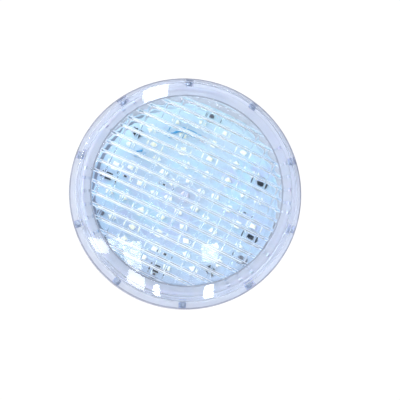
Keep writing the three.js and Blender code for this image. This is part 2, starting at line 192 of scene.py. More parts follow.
def turned(outline, sides=ROUND):
    """A solid turned about the lamp's axis from a closed outline of (radius, depth) points."""
    shape = bmesh.new()
    rings = []
    for radius, depth in outline:
        turns = [2 * math.pi * k / sides for k in range(sides if radius > 1e-5 else 1)]
        rings.append([
            shape.verts.new((radius * math.cos(t), depth, radius * math.sin(t))) for t in turns
        ])
    for one, two in zip(rings, rings[1:] + rings[:1]):
        if len(one) == 1 and len(two) == 1:
            continue
        for k in range(sides):
            n = (k + 1) % sides
            loop = [one[k % len(one)], one[n % len(one)], two[n % len(two)], two[k % len(two)]]
            shape.faces.new(list(dict.fromkeys(loop)))
    bmesh.ops.recalc_face_normals(shape, faces=shape.faces)
    return shape


def lathe(corners, steps=5, sides=ROUND):
    """A solid turned from an outline with rounded corners."""
    return turned(rounded(corners, steps), sides)


def ring(inner, outer, start, end, fillets=(0, 0, 0, 0), steps=2, sides=ROUND):
    """A ring between two depths, or a disc where the inner radius is 0.

    The fillets are those of the inner and outer corner at the start, then at the end the
    outer and inner one.
    """
    corners = ((inner, start), (outer, start), (outer, end), (inner, end))
    return lathe([(*at, size) for at, size in zip(corners, fillets)], steps, sides)


def rod(radius, start, end, sides=24, fillet=0.0):
    """A round bar along the lamp's axis between two depths."""
    return ring(0, radius, start, end, (0, fillet, fillet, 0), 3, sides)


def block(width, depth, height, bevel=0.1, at=(0, 0, 0), segments=2):
    """A box with rounded edges, given by its size and its middle."""
    shape = bmesh.new()
    bmesh.ops.create_cube(shape, size=1)
    bmesh.ops.scale(shape, vec=(width, depth, height), verts=shape.verts)
    if bevel:
        bmesh.ops.bevel(
            shape,
            geom=list(shape.edges),
            offset=bevel,
            segments=segments,
            profile=0.5,
            affect="EDGES",
        )
    bmesh.ops.translate(shape, vec=at, verts=shape.verts)
    return shape


def moved(shape, matrix):
    """The shape itself, moved."""
    shape.transform(matrix)
    return shape


def between(a, b, start, end, at):
    """The point on the line from a to b where the parameter is at."""
    return a * ((end - at) / (end - start)) + b * ((at - start) / (end - start))


def curve_through(points, steps):
    """Points on the smooth centripetal curve through the given points."""
    points = [Vector(point) for point in points]
    path = [2 * points[0] - points[1], *points, 2 * points[-1] - points[-2]]
    spans = len(points) - 1
    made = []
    for k in range(steps + 1):
        along = min(k * spans / steps, spans - 1e-9)
        i = int(along)
        a, b, c, d = path[i:i + 4]
        t0 = 0.0
        t1 = t0 + math.sqrt((b - a).length)
        t2 = t1 + math.sqrt((c - b).length)
        t3 = t2 + math.sqrt((d - c).length)
        t = t1 + (t2 - t1) * (along - i)
        ab = between(a, b, t0, t1, t)
        bc = between(b, c, t1, t2, t)
        cd = between(c, d, t2, t3, t)
        made.append(between(between(ab, bc, t0, t2, t), between(bc, cd, t1, t3, t), t1, t2, t))
    return made


def skinned(shape, rings):
    """Closes the rings of points of a shape to a skin with flat ends."""
    for one, two in zip(rings, rings[1:]):
        for k in range(len(one)):
            n = (k + 1) % len(one)
            shape.faces.new((one[k], one[n], two[n], two[k]))
    shape.faces.new(rings[0])
    shape.faces.new(rings[-1])
    bmesh.ops.recalc_face_normals(shape, faces=shape.faces)
    return shape


def tube(path, radius, sides):
    """A closed round tube along a path."""
    shape = bmesh.new()
    across = None
    rings = []
    for i, point in enumerate(path):
        ahead = path[min(i + 1, len(path) - 1)] - path[max(i - 1, 0)]
        ahead.normalize()
        if across is None:
            across = ahead.orthogonal()
        across = (across - ahead * across.dot(ahead)).normalized()
        up = ahead.cross(across)
        turns = [2 * math.pi * k / sides for k in range(sides)]
        rings.append([
            shape.verts.new(point + radius * (across * math.cos(t) + up * math.sin(t)))
            for t in turns
        ])
    return skinned(shape, rings)


def as_object(shape):
    """A shape as a passing Blender object with room for two materials."""
    mesh = bpy.data.meshes.new("passing")
    shape.to_mesh(mesh)
    mesh.materials.append(None)
    mesh.materials.append(None)
    made = bpy.data.objects.new("passing", mesh)
    bpy.context.scene.collection.objects.link(made)
    return made


def combined(shape, other, operation):
    """The shape less the other (DIFFERENCE), with it (UNION), or what both share (INTERSECT)."""
    base = as_object(shape)
    tool = as_object(other)
    modifier = base.modifiers.new("combine", "BOOLEAN")
    modifier.operation = operation
    modifier.object = tool
    modifier.solver = "MANIFOLD"
    result = bmesh.new()
    result.from_object(base, bpy.context.evaluated_depsgraph_get())
    if not result.faces:
        modifier.solver = "EXACT"
        result.from_object(base, bpy.context.evaluated_depsgraph_get())
    for passing in (base, tool):
        mesh = passing.data
        bpy.data.objects.remove(passing)
        bpy.data.meshes.remove(mesh)
    shape.free()
    other.free()
    return result


def cut(shape, *tools):
    """The shape with the tools cut out of it."""
    return combined(shape, together(*tools), "DIFFERENCE")


def fused(shape, *others):
    """The shape joined with others that overlap it but not each other."""
    return combined(shape, together(*others), "UNION")


def together(*shapes):
    """Separate shapes in one mesh."""
    made = bmesh.new()
    for shape in shapes:
        passing = bpy.data.meshes.new("passing")
        shape.to_mesh(passing)
        made.from_mesh(passing)
        bpy.data.meshes.remove(passing)
        shape.free()
    return made


class Piece:
    """One piece of the lamp: shapes gathered in one mesh, each with its material."""

    def __init__(self, node, sharp=40):
        self.node = node
        self.sharp = sharp
        self.mesh = bmesh.new()
        self.materials = []

    def add(self, shape, *finishes, at=None, keep=False):
        """Adds a shape. Its material indices count through the finishes given."""
        passing = bpy.data.meshes.new("passing")
        shape.to_mesh(passing)
        if at is not None:
            passing.transform(at)
        for finish in finishes:
            if finish not in self.materials:
                self.materials.append(finish)
        before = len(self.mesh.faces)
        self.mesh.from_mesh(passing)
        bpy.data.meshes.remove(passing)
        self.mesh.faces.ensure_lookup_table()
        for face in self.mesh.faces[before:]:
            finish = finishes[min(face.material_index, len(finishes) - 1)]
            face.material_index = self.materials.index(finish)
        if not keep:
            shape.free()
        return self

    def show(self):
        """Makes the object, which stands for its CAD node and rides on its body."""
        mesh = bpy.data.meshes.new(f"{self.node}_look")
        self.mesh.transform(Matrix.Scale(MM, 4))
        self.mesh.to_mesh(mesh)
        self.mesh.free()
        for finish in self.materials:
            mesh.materials.append(finish)
        mesh.shade_smooth()
        mesh.set_sharp_from_angle(angle=math.radians(self.sharp))
        made = bpy.data.objects.new(f"{self.node}_look", mesh)
        bpy.context.scene.collection.objects.link(made)
        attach(made, BODY_OF[self.node])
        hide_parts(self.node)
        return made


# ---- Materials ----
def feed(tree, socket, value):
    """Sets a socket to a value, or links it if the value is another socket."""
    if isinstance(value, bpy.types.NodeSocket):
        tree.links.new(value, socket)
    else:
        socket.default_value = value


def add_node(tree, kind, inputs, **properties):
    """A new shader node whose inputs are values or the sockets that feed them."""
    made = tree.nodes.new(f"ShaderNode{kind}")
    for name, value in properties.items():
        setattr(made, name, value)
    for socket, value in inputs.items():
        feed(tree, made.inputs[socket], value)
    return made


class Look:
    """A procedural material: one Principled shader with detail in colour, roughness and relief."""

    def __init__(self, name, colour, roughness, metallic=0.0):
        self.made = bpy.data.materials.new(name)
        self.made.use_nodes = True
        self.tree = self.made.node_tree
        self.shader = self.tree.nodes["Principled BSDF"]
        self.colour = (*colour, 1)
        self.normal = None
        self.set("Base Color", self.colour)
        self.set("Roughness", roughness)
        self.set("Metallic", metallic)

    def set(self, socket, value):
        """Feeds one of the shader's inputs a value or another node's output."""
        feed(self.tree, self.shader.inputs[socket], value)
        return self

    def add(self, kind, inputs, output, **properties):
        """Adds a node to this look and gives back one of its outputs."""
        return add_node(self.tree, kind, inputs, **properties).outputs[output]

    def place(self, stretch=(1, 1, 1)):
        """The point in the lamp's own frame, in metres, stretched."""
        spot = self.add("TexCoord", {}, "Object")
        return self.add("Mapping", {"Vector": spot, "Scale": stretch}, "Vector")

    def noise(self, size, detail, stretch=(1, 1, 1)):
        """Noise from 0 to 1 whose features are about this many millimetres across."""
        inputs = {"Vector": self.place(stretch), "Scale": 1 / (size * MM), "Detail": detail}
        return self.add("TexNoise", inputs, "Fac")

    def along(self, axis):
        """How far along an axis from the lamp's middle a point lies, in metres."""
        return self.add("SeparateXYZ", {"Vector": self.add("TexCoord", {}, "Object")}, axis)

    def band(self, inner, outer, fade):
        """1 between two radii in millimetres, fading to 0 outside them."""
        radius = self.add("VectorMath", {0: self.place((1, 0, 1))}, "Value", operation="LENGTH")
        inside = self.ranged(radius, 0, 1, (inner - fade) * MM, inner * MM)
        outside = self.ranged(radius, 1, 0, outer * MM, (outer + fade) * MM)
        return self.product(inside, outside)

    def product(self, first, second):
        return self.add("Math", {0: first, 1: second}, "Value", operation="MULTIPLY")

    def ranged(self, factor, lowest, highest, start=0.35, end=0.65):
        """A factor spread from lowest to highest."""
        inputs = {"Value": factor, "From Min": start, "From Max": end}
        return self.add("MapRange", {**inputs, "To Min": lowest, "To Max": highest}, "Result")

    def tones(self, factor, other, start=0.35, end=0.65):
        """Mixes the colour with another one by a factor."""
        share = self.ranged(factor, 0, 1, start, end)
        inputs = {"Factor": share, "A": self.colour, "B": (*other, 1)}
        self.colour = self.add("Mix", inputs, "Result", data_type="RGBA")
        return self.set("Base Color", self.colour)

    def rough(self, factor, lowest, highest):
        """Lets the roughness vary with a factor."""
        return self.set("Roughness", self.ranged(factor, lowest, highest))

    def relief(self, factor, depth, strength):
        """Adds a bump this many millimetres deep, on top of the bumps so far."""
        inputs = {"Height": factor, "Distance": depth * MM, "Strength": strength}
        if self.normal is not None:
            inputs["Normal"] = self.normal
        self.normal = self.add("Bump", inputs, "Normal")
        return self.set("Normal", self.normal)

    def lets_light_in(self, tint):
        """Lamps shine straight through: shadow rays meet a tinted clear sheet."""
        shadow = self.add("LightPath", {}, "Is Shadow Ray")
        clear = self.add("BsdfTransparent", {"Color": (*tint, 1)}, "BSDF")
        inputs = {0: shadow, 1: self.shader.outputs["BSDF"], 2: clear}
        surface = self.tree.nodes["Material Output"].inputs["Surface"]
        feed(self.tree, surface, self.add("MixShader", inputs, "Shader"))
        return self.made


def polished_plastic(name, colour, other, light):
    """Clear plastic with soft moulding waves and very fine scratches."""
    look = Look(name, colour, 0.03).set("Transmission Weight", 1.0).set("IOR", 1.5)
    look.tones(look.noise(26, 2), other)
    look.relief(look.noise(14, 1), 0.12, 0.6)
    look.relief(look.noise(1.1, 2), 0.004, 0.25)
    return look.lets_light_in(light)


def matt_plastic(name, colour, other, roughness, transmission, patches, depth):
    """The same plastic where its surface is left unpolished, with large patches of two tones."""
    look = Look(name, colour, roughness).set("Transmission Weight", transmission).set("IOR", 1.5)
    look.tones(look.noise(patches, 2), other)
    look.relief(look.noise(0.6, 2), depth, 0.3)
    return look


def rib_plastic():
    """The same plastic on the lens ribs, slightly frosted by the mould, and less clear towards the
    left as a painted highlight.
    """
    look = Look("rib_plastic", (1.0, 1.0, 1.0), 0.36).set("IOR", 1.5)
    # painted highlight: the ribs are less clear, so paler, towards the left, where light falls on
    # them
    look.set("Transmission Weight", look.ranged(look.along("X"), 0.74, 0.98, -0.065, 0.02))
    look.tones(look.noise(60, 1), (0.80, 0.90, 1.0), 0.42, 0.6)
    look.tones(look.noise(3, 2), (0.97, 0.985, 1.0), 0.5, 0.8)
    look.relief(look.noise(0.8, 2), 0.01, 0.3)
    return look.lets_light_in((0.93, 0.95, 0.985))


def board_white():
    """White solder mask with a cool tint, faint handling marks and an orange-peel skin, with
    painted shade and light across it and a painted shadow line round its edge.
    """
    look = Look("board_white", (0.385, 0.50, 0.61), 0.42)
    look.tones(look.noise(26, 3), (0.36, 0.56, 0.66), 0.42, 0.58)
    look.tones(look.noise(17, 3), (0.40, 0.455, 0.64), 0.50, 0.68)
    look.tones(look.noise(1.3, 4), (0.46, 0.575, 0.70), 0.52, 0.75)
    # painted shade: darker towards the left and the bottom; painted light: paler and cooler towards
    # the top
    look.tones(look.along("X"), (0.34, 0.43, 0.55), -0.050, -0.090)
    look.tones(look.along("Z"), (0.32, 0.41, 0.54), 0.0, -0.075)
    look.tones(look.along("Z"), (0.52, 0.70, 0.74), 0.02, 0.075)
    look.tones(look.band(0, 5, 14), (0.36, 0.41, 0.53), 0, 1.3)
    shade = look.ranged(look.along("X"), 0.85, 0.2, -0.04, 0.0)  # how dark the painted shadow line round the board is, darkest on the left
    look.tones(look.product(look.band(68.9, 70.9, 0.7), shade), (0.09, 0.10, 0.14), 0, 1)
    look.rough(look.noise(6, 3), 0.34, 0.52)
    return look.relief(look.noise(0.45, 2), 0.008, 0.5).made


def two_tone(name, colour, roughness, metallic, tone, relief, gloss=None, **extra):
    """A material of two tones with a fine relief, and with patches of other gloss if wanted.

    The tone is (other colour, size, detail) and, where the tones part sharply, (start, end).
    The relief is (depth, strength, size, detail) and the gloss (lowest roughness, highest
    roughness, size, detail), each with a stretch at the end where its grain has a direction.
    Extra values are named after the shader's sockets, with _ for a space.
    """
    look = Look(name, colour, roughness, metallic)
    other, size, detail, *span = tone
    look.tones(look.noise(size, detail), other, *span)
    if gloss:
        lowest, highest, *grain = gloss
        look.rough(look.noise(*grain), lowest, highest)
    for socket, value in extra.items():
        look.set(socket.replace("_", " "), value)
    depth, strength, *grain = relief
    return look.relief(look.noise(*grain), depth, strength).made


def insulation(name, colour, other):
    """Coloured PVC insulation with the faint marks of its extrusion."""
    return two_tone(
        name, colour, 0.34, 0,
        tone=(other, 2.5, 3), relief=(0.015, 0.5, 0.4, 3), gloss=(0.26, 0.46, 0.8, 3),
    )


# Clear plastic has a faint blue-lavender tint, which the thinner wall over the LEDs hardly has.
CLEAR = polished_plastic(
    "clear_plastic", (0.84, 0.885, 0.975), (0.80, 0.865, 0.97), (0.93, 0.95, 0.985)
)
DOME = polished_plastic(
    "dome_plastic", (0.94, 0.96, 0.99), (0.91, 0.945, 0.985), (0.97, 0.98, 0.99)
)
RIB = rib_plastic()
# Satin is the inside of the rim. The thin turned edges are matt, and painted dark grey as the shade
# that lines them.
SATIN = matt_plastic(
    "satin_plastic", (0.71, 0.735, 0.77), (0.68, 0.715, 0.775), 0.55, 0.7, 9, 0.01
).lets_light_in((0.95, 0.965, 0.99))
EDGE_SHADE = matt_plastic(
    "edge_shade_plastic", (0.27, 0.28, 0.34), (0.36, 0.37, 0.44), 0.45, 0.6, 12, 0.008
).set("Specular IOR Level", 0.25).lets_light_in((0.95, 0.965, 0.99))
SILICONE = two_tone(
    "milky_silicone", (0.60, 0.62, 0.72), 0.5, 0,
    tone=((0.54, 0.56, 0.66), 4, 3),
    relief=(0.01, 0.5, 0.5, 3), gloss=(0.42, 0.58, 1.2, 3),
    Subsurface_Weight=0.25, Subsurface_Scale=0.002,
)
# Dark steel has rubbed bright spots.
DARK_STEEL = two_tone(
    "dark_steel", (0.16, 0.17, 0.20), 0.34, 0.9,
    tone=((0.34, 0.35, 0.38), 1.4, 4, 0.5, 0.75),
    relief=(0.01, 0.5, 0.25, 3), gloss=(0.25, 0.5, 0.5, 3),
)
STEEL = two_tone(
    "bright_steel", (0.68, 0.70, 0.73), 0.24, 1,
    tone=((0.52, 0.53, 0.56), 2.5, 4, 0.45, 0.7),
    relief=(0.008, 0.5, 0.3, 3, (1, 5, 1)), gloss=(0.16, 0.36, 0.4, 3, (1, 6, 1)),
)
# Pool steel is dulled by years of water.
POOL_STEEL = two_tone(
    "pool_steel", (0.54, 0.565, 0.595), 0.42, 0.85,
    tone=((0.66, 0.68, 0.71), 1.4, 4, 0.5, 0.75),
    relief=(0.01, 0.5, 0.25, 3), gloss=(0.34, 0.55, 0.5, 3),
)
ZINC = two_tone(
    "zinc_plate", (0.74, 0.70, 0.80), 0.45, 0.35,
    tone=((0.62, 0.60, 0.70), 1.6, 3),
    relief=(0.008, 0.5, 0.3, 3), gloss=(0.36, 0.56, 0.5, 3),
)
TIN = two_tone(
    "solder_tin", (0.74, 0.76, 0.79), 0.3, 0.85,
    tone=((0.58, 0.60, 0.64), 0.9, 3),
    relief=(0.03, 0.5, 0.6, 2), gloss=(0.2, 0.45, 0.5, 3),
)
BOARD = board_white()
# The same mask where it covers copper: a touch paler and glossier.
TRACK = two_tone(
    "track_white", (0.44, 0.56, 0.68), 0.34, 0,
    tone=((0.48, 0.62, 0.73), 5, 3), relief=(0.008, 0.5, 0.45, 2),
)
LED_WHITE = two_tone(
    "led_white", (0.98, 0.985, 0.97), 0.38, 0,
    tone=((0.95, 0.96, 0.94), 1.0, 2),
    relief=(0.006, 0.5, 0.3, 2), gloss=(0.3, 0.45, 0.5, 2),
)
# The rim of the window takes the phosphor's yellow, painted darker as the shade round the window.
# The phosphor lies under clear resin.
LED_LIP_SHADE = two_tone(
    "led_lip_shade", (0.54, 0.60, 0.40), 0.35, 0,
    tone=((0.68, 0.72, 0.54), 0.8, 2), relief=(0.006, 0.5, 0.3, 2),
)
PHOSPHOR = two_tone(
    "phosphor", (0.88, 0.90, 0.62), 0.25, 0,
    tone=((0.97, 0.97, 0.82), 0.7, 3), relief=(0.01, 0.5, 0.25, 3),
    Coat_Weight=1.0, Coat_Roughness=0.06,
)
BLACK = two_tone(
    "chip_black", (0.002, 0.010, 0.020), 0.5, 0,
    tone=((0.014, 0.022, 0.032), 0.8, 4, 0.45, 0.75),
    relief=(0.01, 0.6, 0.16, 3), gloss=(0.36, 0.58, 0.6, 3),
    Specular_IOR_Level=0.25,
)
# Aluminium and brass have the marks of turning and brushing.
ALUMINIUM = two_tone(
    "aluminium", (0.70, 0.72, 0.75), 0.36, 1,
    tone=((0.60, 0.62, 0.66), 9, 4),
    relief=(0.01, 0.4, 0.35, 3, (1, 6, 1)), gloss=(0.28, 0.48, 0.5, 4, (1, 8, 1)),
)
BRASS = two_tone(
    "brass", (0.78, 0.56, 0.24), 0.26, 1,
    tone=((0.62, 0.42, 0.17), 3, 4, 0.45, 0.75),
    relief=(0.008, 0.5, 0.3, 3, (1, 1, 5)), gloss=(0.18, 0.4, 0.4, 3, (1, 1, 5)),
)
PAD = two_tone(
    "pad_silicone", (0.42, 0.52, 0.64), 0.75, 0,
    tone=((0.34, 0.44, 0.56), 2.2, 4), relief=(0.03, 0.6, 0.5, 3),
)
# Green solder mask over a woven laminate, and over the laminate's copper.
LAMINATE = two_tone(
    "laminate_green", (0.03, 0.22, 0.11), 0.32, 0,
    tone=((0.045, 0.28, 0.14), 7, 3),
    relief=(0.012, 0.5, 0.7, 1, (1, 1, 3)), gloss=(0.24, 0.42, 2, 3),
)
MASKED_COPPER = two_tone(
    "copper_under_mask", (0.06, 0.36, 0.17), 0.3, 0.2,
    tone=((0.09, 0.42, 0.20), 3, 3), relief=(0.01, 0.5, 0.5, 2),
)
# The sleeve of a capacitor has fine wrinkles round it.
SLEEVE = two_tone(
    "sleeve", (0.020, 0.026, 0.050), 0.3, 0,
    tone=((0.035, 0.045, 0.08), 3, 3), relief=(0.02, 0.5, 0.9, 3, (1, 3, 1)),
)
STRIPE = two_tone(
    "sleeve_stripe", (0.55, 0.58, 0.62), 0.35, 0,
    tone=((0.46, 0.49, 0.54), 1.2, 3), relief=(0.01, 0.4, 0.9, 3),
)
FERRITE = two_tone(
    "ferrite", (0.055, 0.055, 0.062), 0.7, 0,
    tone=((0.09, 0.09, 0.10), 0.8, 4), relief=(0.03, 0.6, 0.4, 4),
)
WINDING = two_tone(
    "winding", (0.62, 0.24, 0.10), 0.24, 0.85,
    tone=((0.72, 0.32, 0.14), 1.5, 3), relief=(0.006, 0.5, 0.3, 2),
)
COPPER = two_tone(
    "bare_copper", (0.78, 0.40, 0.22), 0.3, 1,
    tone=((0.66, 0.32, 0.18), 0.8, 3), relief=(0.01, 0.5, 0.25, 2),
)
NYLON = two_tone(
    "nylon", (0.80, 0.78, 0.70), 0.45, 0,
    tone=((0.74, 0.72, 0.63), 2.5, 3), relief=(0.012, 0.5, 0.5, 3),
    Subsurface_Weight=0.2, Subsurface_Scale=0.002,
)
BLUE = insulation("insulation_blue", (0.01, 0.26, 0.52), (0.015, 0.34, 0.64))
BROWN = insulation("insulation_brown", (0.17, 0.07, 0.03), (0.22, 0.095, 0.045))
# Cast resin has soft clouds and a wavy skin.
RESIN = two_tone(
    "resin", (0.60, 0.63, 0.67), 0.3, 0,
    tone=((0.70, 0.72, 0.75), 6, 4),
    relief=(0.08, 0.5, 4, 3), gloss=(0.2, 0.42, 3, 3),
)
RUBBER = two_tone(
    "rubber", (0.025, 0.026, 0.030), 0.72, 0,
    tone=((0.05, 0.05, 0.055), 1.5, 4), relief=(0.02, 0.6, 0.4, 3),
)


# ---- Lens ----
def lens_outline():
    """Dome, crease, flat land, front wall, lip, skirt and the rib that shuts the seal in."""
    edge = LENS["radius"] - CREASE
    steps = 30
    dome = [(edge * k / steps, dome_depth(edge * k / steps, LENS["crown"])) for k in range(steps)]
    rest = [
        (edge, dome_depth(edge, LENS["crown"]), 0.25),
        (LENS["radius"], RIM["land_depth"] + CREASE, 0.2),
        (LENS["radius"] + CREASE, RIM["land_depth"], 0.3),
        (RIM["land_outer"] + 0.9, RIM["land_depth"], 1.1),
        (RIM["land_outer"] + 0.9, RIM["lip_depth"], 0.5),
        (RIM["radius"], RIM["lip_depth"], 0.9),
        (RIM["radius"], SKIRT_END, 0.3),
        (RIM["radius"] - RIM["wall"], SKIRT_END, 0.3),
        (RIM["radius"] - RIM["wall"], LIP_BACK, 0.5),
        (LENS["seal_rib"] + LENS["seal_rib_wall"], LIP_BACK, 0.3),
        (LENS["seal_rib"] + LENS["seal_rib_wall"], SKIRT_END, 0.25),
        (LENS["seal_rib"], SKIRT_END, 0.25),
        (LENS["seal_rib"], LAND_BACK, 0.3),
        (0, LAND_BACK, 0),
    ]
    return [(x, y, 0) for x, y in dome] + rest


def rib_lines(pitch, height):
    """Where the lines of a rib net run in one direction, each with the rib's height there."""
    reach = math.ceil(LENS["radius"] / pitch)
    half = LENS["rib_width"] / 2
    lines = []
    steps = 6
    for i in range(-reach, reach + 1):
        for k in range(-steps, steps + 1):
            t = k / steps
            lines.append((i * pitch + t * half, height * (1 + math.cos(math.pi * t)) / 2))
        for t in (0.25, 0.5, 0.75):
            lines.append((i * pitch + half + t * (pitch - 2 * half), 0.0))
    return lines


RIB_END = 0.3  # from the ends of the ribs to the wall of the cavity
RIB_RUN_OUT = 1.6  # over which the ribs sink to nothing at their ends


def ribbed_cavity():
    """The space under the dome. Its front follows the dome's inside and its half-round ribs.

    It is a grid along the ribs, trimmed round at the end. The main ribs get the second material.
    """
    rows = rib_lines(*LENS["main_rib"])
    columns = rib_lines(*LENS["cross_rib"])
    ax, az = polar(LENS["turn"], 1)
    farthest = 1.3 * LENS["radius"]  # past the trimmed edge, where the sphere still has a depth
    shape = bmesh.new()

    def layer(depth_at):
        made = []
        for v, row_height in rows:
            line = []
            for u, column_height in columns:
                x = u * ax - v * az
                z = u * az + v * ax
                radius = math.hypot(x, z)
                run_out = (DOME_EDGE - RIB_END - radius) / RIB_RUN_OUT
                rib = max(row_height, column_height) * min(1.0, max(0.0, run_out))
                line.append(shape.verts.new((x, depth_at(radius, rib), z)))
            made.append(line)
        return made

    front = layer(
        lambda radius, rib: dome_depth(min(radius, farthest), LENS["crown"] + LENS["wall"]) + rib
    )
    rear = layer(lambda radius, rib: 0.0)
    for grid in (front, rear):
        for j in range(len(rows) - 1):
            for i in range(len(columns) - 1):
                face = shape.faces.new(
                    (grid[j][i], grid[j][i + 1], grid[j + 1][i + 1], grid[j + 1][i])
                )
                on_row = rows[j][1] + rows[j + 1][1] > 0.2
                face.material_index = int(grid is front and on_row)
    last_row = len(rows) - 1
    last_column = len(columns) - 1
    loop = [(0, i) for i in range(last_column)]
    loop += [(j, last_column) for j in range(last_row)]
    loop += [(last_row, i) for i in range(last_column, 0, -1)]
    loop += [(j, 0) for j in range(last_row, 0, -1)]
    for (j, i), (m, n) in zip(loop, loop[1:] + loop[:1]):
        shape.faces.new((front[j][i], front[m][n], rear[m][n], rear[j][i]))
    bmesh.ops.recalc_face_normals(shape, faces=shape.faces)
    return combined(shape, rod(DOME_EDGE, LENS["crown"] - 1, -0.5, ROUND), "INTERSECT")


RIM_SCREWS = numbered("rim_screw", 10, 2)
BOARD_SCREWS = numbered("board_screw", 3)
PILOT = 1.62  # radius of the hole that a 3 mm screw cuts its thread in
SCREW_HOLE = 1.8  # radius of the hole that it passes through
BOSS = 3.2  # radius of the lens's bosses for the rim screws


def screw_place(node, y=0.0):
    """A matrix that moves a shape to a screw of the frame."""
    spot = middle(node)
    return place(spot.x, y, spot.z, math.degrees(math.atan2(spot.z, spot.x)))


def at_screws(nodes, *size):
    """A rod of this size at each of the screws."""
    return [moved(rod(*size), screw_place(node)) for node in nodes]


def add_lens():
    """The lens with its screw bosses, a material for each kind of surface on it, and painted shade
    on its crease and outer corner.
    """
    body = lathe(lens_outline())
    body = fused(body, *at_screws(RIM_SCREWS, BOSS, LIP_BACK - 0.5, SKIRT_END, 32, 0.2))
    body = cut(body, *at_screws(RIM_SCREWS, PILOT, LIP_BACK - 1.2, SKIRT_END + 1))
    body = cut(body, ribbed_cavity())
    screws = [middle(node) for node in RIM_SCREWS]
    finishes = (CLEAR, RIB, SATIN, EDGE_SHADE, DOME)
    for face in body.faces:
        spot = face.calc_center_median()
        radius = math.hypot(spot.x, spot.z)
        plain = finishes[face.material_index] == CLEAR
        inside = LENS["radius"] + CREASE < radius < RIM["radius"] - RIM["wall"] + 0.1
        on_boss = min(math.hypot(spot.x - at.x, spot.z - at.z) for at in screws) < BOSS + 0.1
        on_crease = abs(radius - LENS["radius"]) < CREASE and spot.y < RIM["land_depth"] + CREASE
        on_corner = radius > RIM["radius"] - 1.0 and spot.y < RIM["lip_depth"] + 1.0
        # painted shade: the crease and the outer corner are dark grey
        if on_crease or on_corner:
            finish = EDGE_SHADE
        elif plain and radius < DOME_EDGE:
            finish = DOME
        elif plain and inside and spot.y > LAND_BACK - 0.1 and not on_boss:
            finish = SATIN
        else:
            continue
        face.material_index = finishes.index(finish)
    Piece("lens", 34).add(body, *finishes).show()


def add_lens_seal():
    """An O-ring with the fine parting line of its mould."""
    lowest, highest, spot = extent("lens_seal")
    section = (highest.y - lowest.y) / 2
    sides = 32
    outline = []
    for k in range(sides):
        t = 2 * math.pi * k / sides
        size = section * (1.03 if k in (0, sides // 2) else 1.0)
        outline.append((highest.x - section + size * math.cos(t), spot.y + size * math.sin(t)))
    Piece("lens_seal").add(turned(outline), SILICONE).show()


# ---- Rear shell ----
SPIGOT_OUTER = BOWL["outer"] - 0.4
SPIGOT_INNER = SPIGOT_OUTER - BOWL["spigot"]
SHOULDER = LAND_BACK + 2.8
LEDGE = BOARD_BACK + SURFACE_GAP
LEDGE_INNER = 69.0
NECK_INNER = BOWL["neck"] - BOWL["wall"]
END_INNER = BOWL["end"] - BOWL["end_wall"]
TERMINALS = (1, 2)


def bowl_curve(radius, length, start, end_radius, steps):
    """Points on the bowl's half ellipse, down to the radius where it ends."""
    last = math.acos(end_radius / radius)
    return [
        (
            radius * math.cos(start + (last - start) * k / steps),
            BOWL["straight"] + length * math.sin(start + (last - start) * k / steps),
            0,
        )
        for k in range(steps + 1)
    ]


def shell_outline():
    """Spigot, flange, bowl, neck and flat end, then back along the inside."""
    outside = bowl_curve(BOWL["outer"], BOWL["length"], 0, BOWL["neck"] + 0.5, 24)
    inner_radius = BOWL["outer"] - BOWL["wall"]
    inner_length = BOWL["length"] - BOWL["wall"]
    inside = bowl_curve(inner_radius, inner_length, 0.13, NECK_INNER + 0.3, 22)
    seal_seat = LENS["seal_rib"] - SURFACE_GAP
    return [
        (SPIGOT_INNER, LAND_BACK + SURFACE_GAP, 0.4),
        (SPIGOT_OUTER, LAND_BACK + SURFACE_GAP, 0.4),
        (SPIGOT_OUTER, SHOULDER, 0.3),
        (seal_seat, SHOULDER, 0.3),
        (seal_seat, -RIM["plate"], 0.3),
        (RIM["radius"], -RIM["plate"], 0.3),
        (RIM["radius"], 0, 0.8),
        (BOWL["outer"], 0, 1.0),
        *outside,
        (BOWL["neck"], BOWL["straight"] + BOWL["length"] * 0.92, 1.0),
        (BOWL["neck"], BOWL["end"], 1.0),
        (0, BOWL["end"], 0),
        (0, END_INNER, 0),
        (NECK_INNER, END_INNER, 0.6),
        *reversed(inside),
        (LEDGE_INNER, LEDGE + 2.6, 0.5),
        (LEDGE_INNER, LEDGE, 0.4),
        (SPIGOT_INNER, LEDGE, 0.3),
    ]


def at_posts(*size):
    """A rod of this size at each of the terminal posts."""
    return [moved(rod(*size), place(x=middle(f"terminal_post_{i}").x)) for i in TERMINALS]


def add_rear_shell():
    """The bowl with its posts, terminal bosses and the barrier between the terminals."""
    body = lathe(shell_outline())
    body = fused(body, *at_screws(BOARD_SCREWS, 4, LEDGE + 0.01, LEDGE + 8, 32, 0.3))
    body = fused(body, *at_posts(8, BOWL["end"] - 1, BOWL["end"] + 3, 64, 0.5))
    body = fused(body, block(2.4, 10, 30, 0.5, (0, BOWL["end"] + 4, 0), 3))
    body = cut(
        body,
        *at_screws(RIM_SCREWS, 3, -2.2, 1, 32),
        *at_screws(BOARD_SCREWS, PILOT, LEDGE - 1, LEDGE + 6.5),
        *at_posts(3.65, END_INNER - 1, BOWL["end"] + 4, 32),
    )
    body = cut(body, *at_screws(RIM_SCREWS, SCREW_HOLE, -5, -1))
    finishes = (CLEAR, SATIN, EDGE_SHADE)
    for face in body.faces:
        spot = face.calc_center_median()
        radius = math.hypot(spot.x, spot.z)
        if spot.y < LEDGE + 0.1 and radius < LENS["seal_rib"]:
            face.material_index = finishes.index(SATIN)
        # painted shade: the flange's outer wall is dark grey, as a dark outline
        elif spot.y < 0 and radius > RIM["radius"] - 0.3:
            face.material_index = finishes.index(EDGE_SHADE)
    Piece("rear_shell", 34).add(body, *finishes).show()


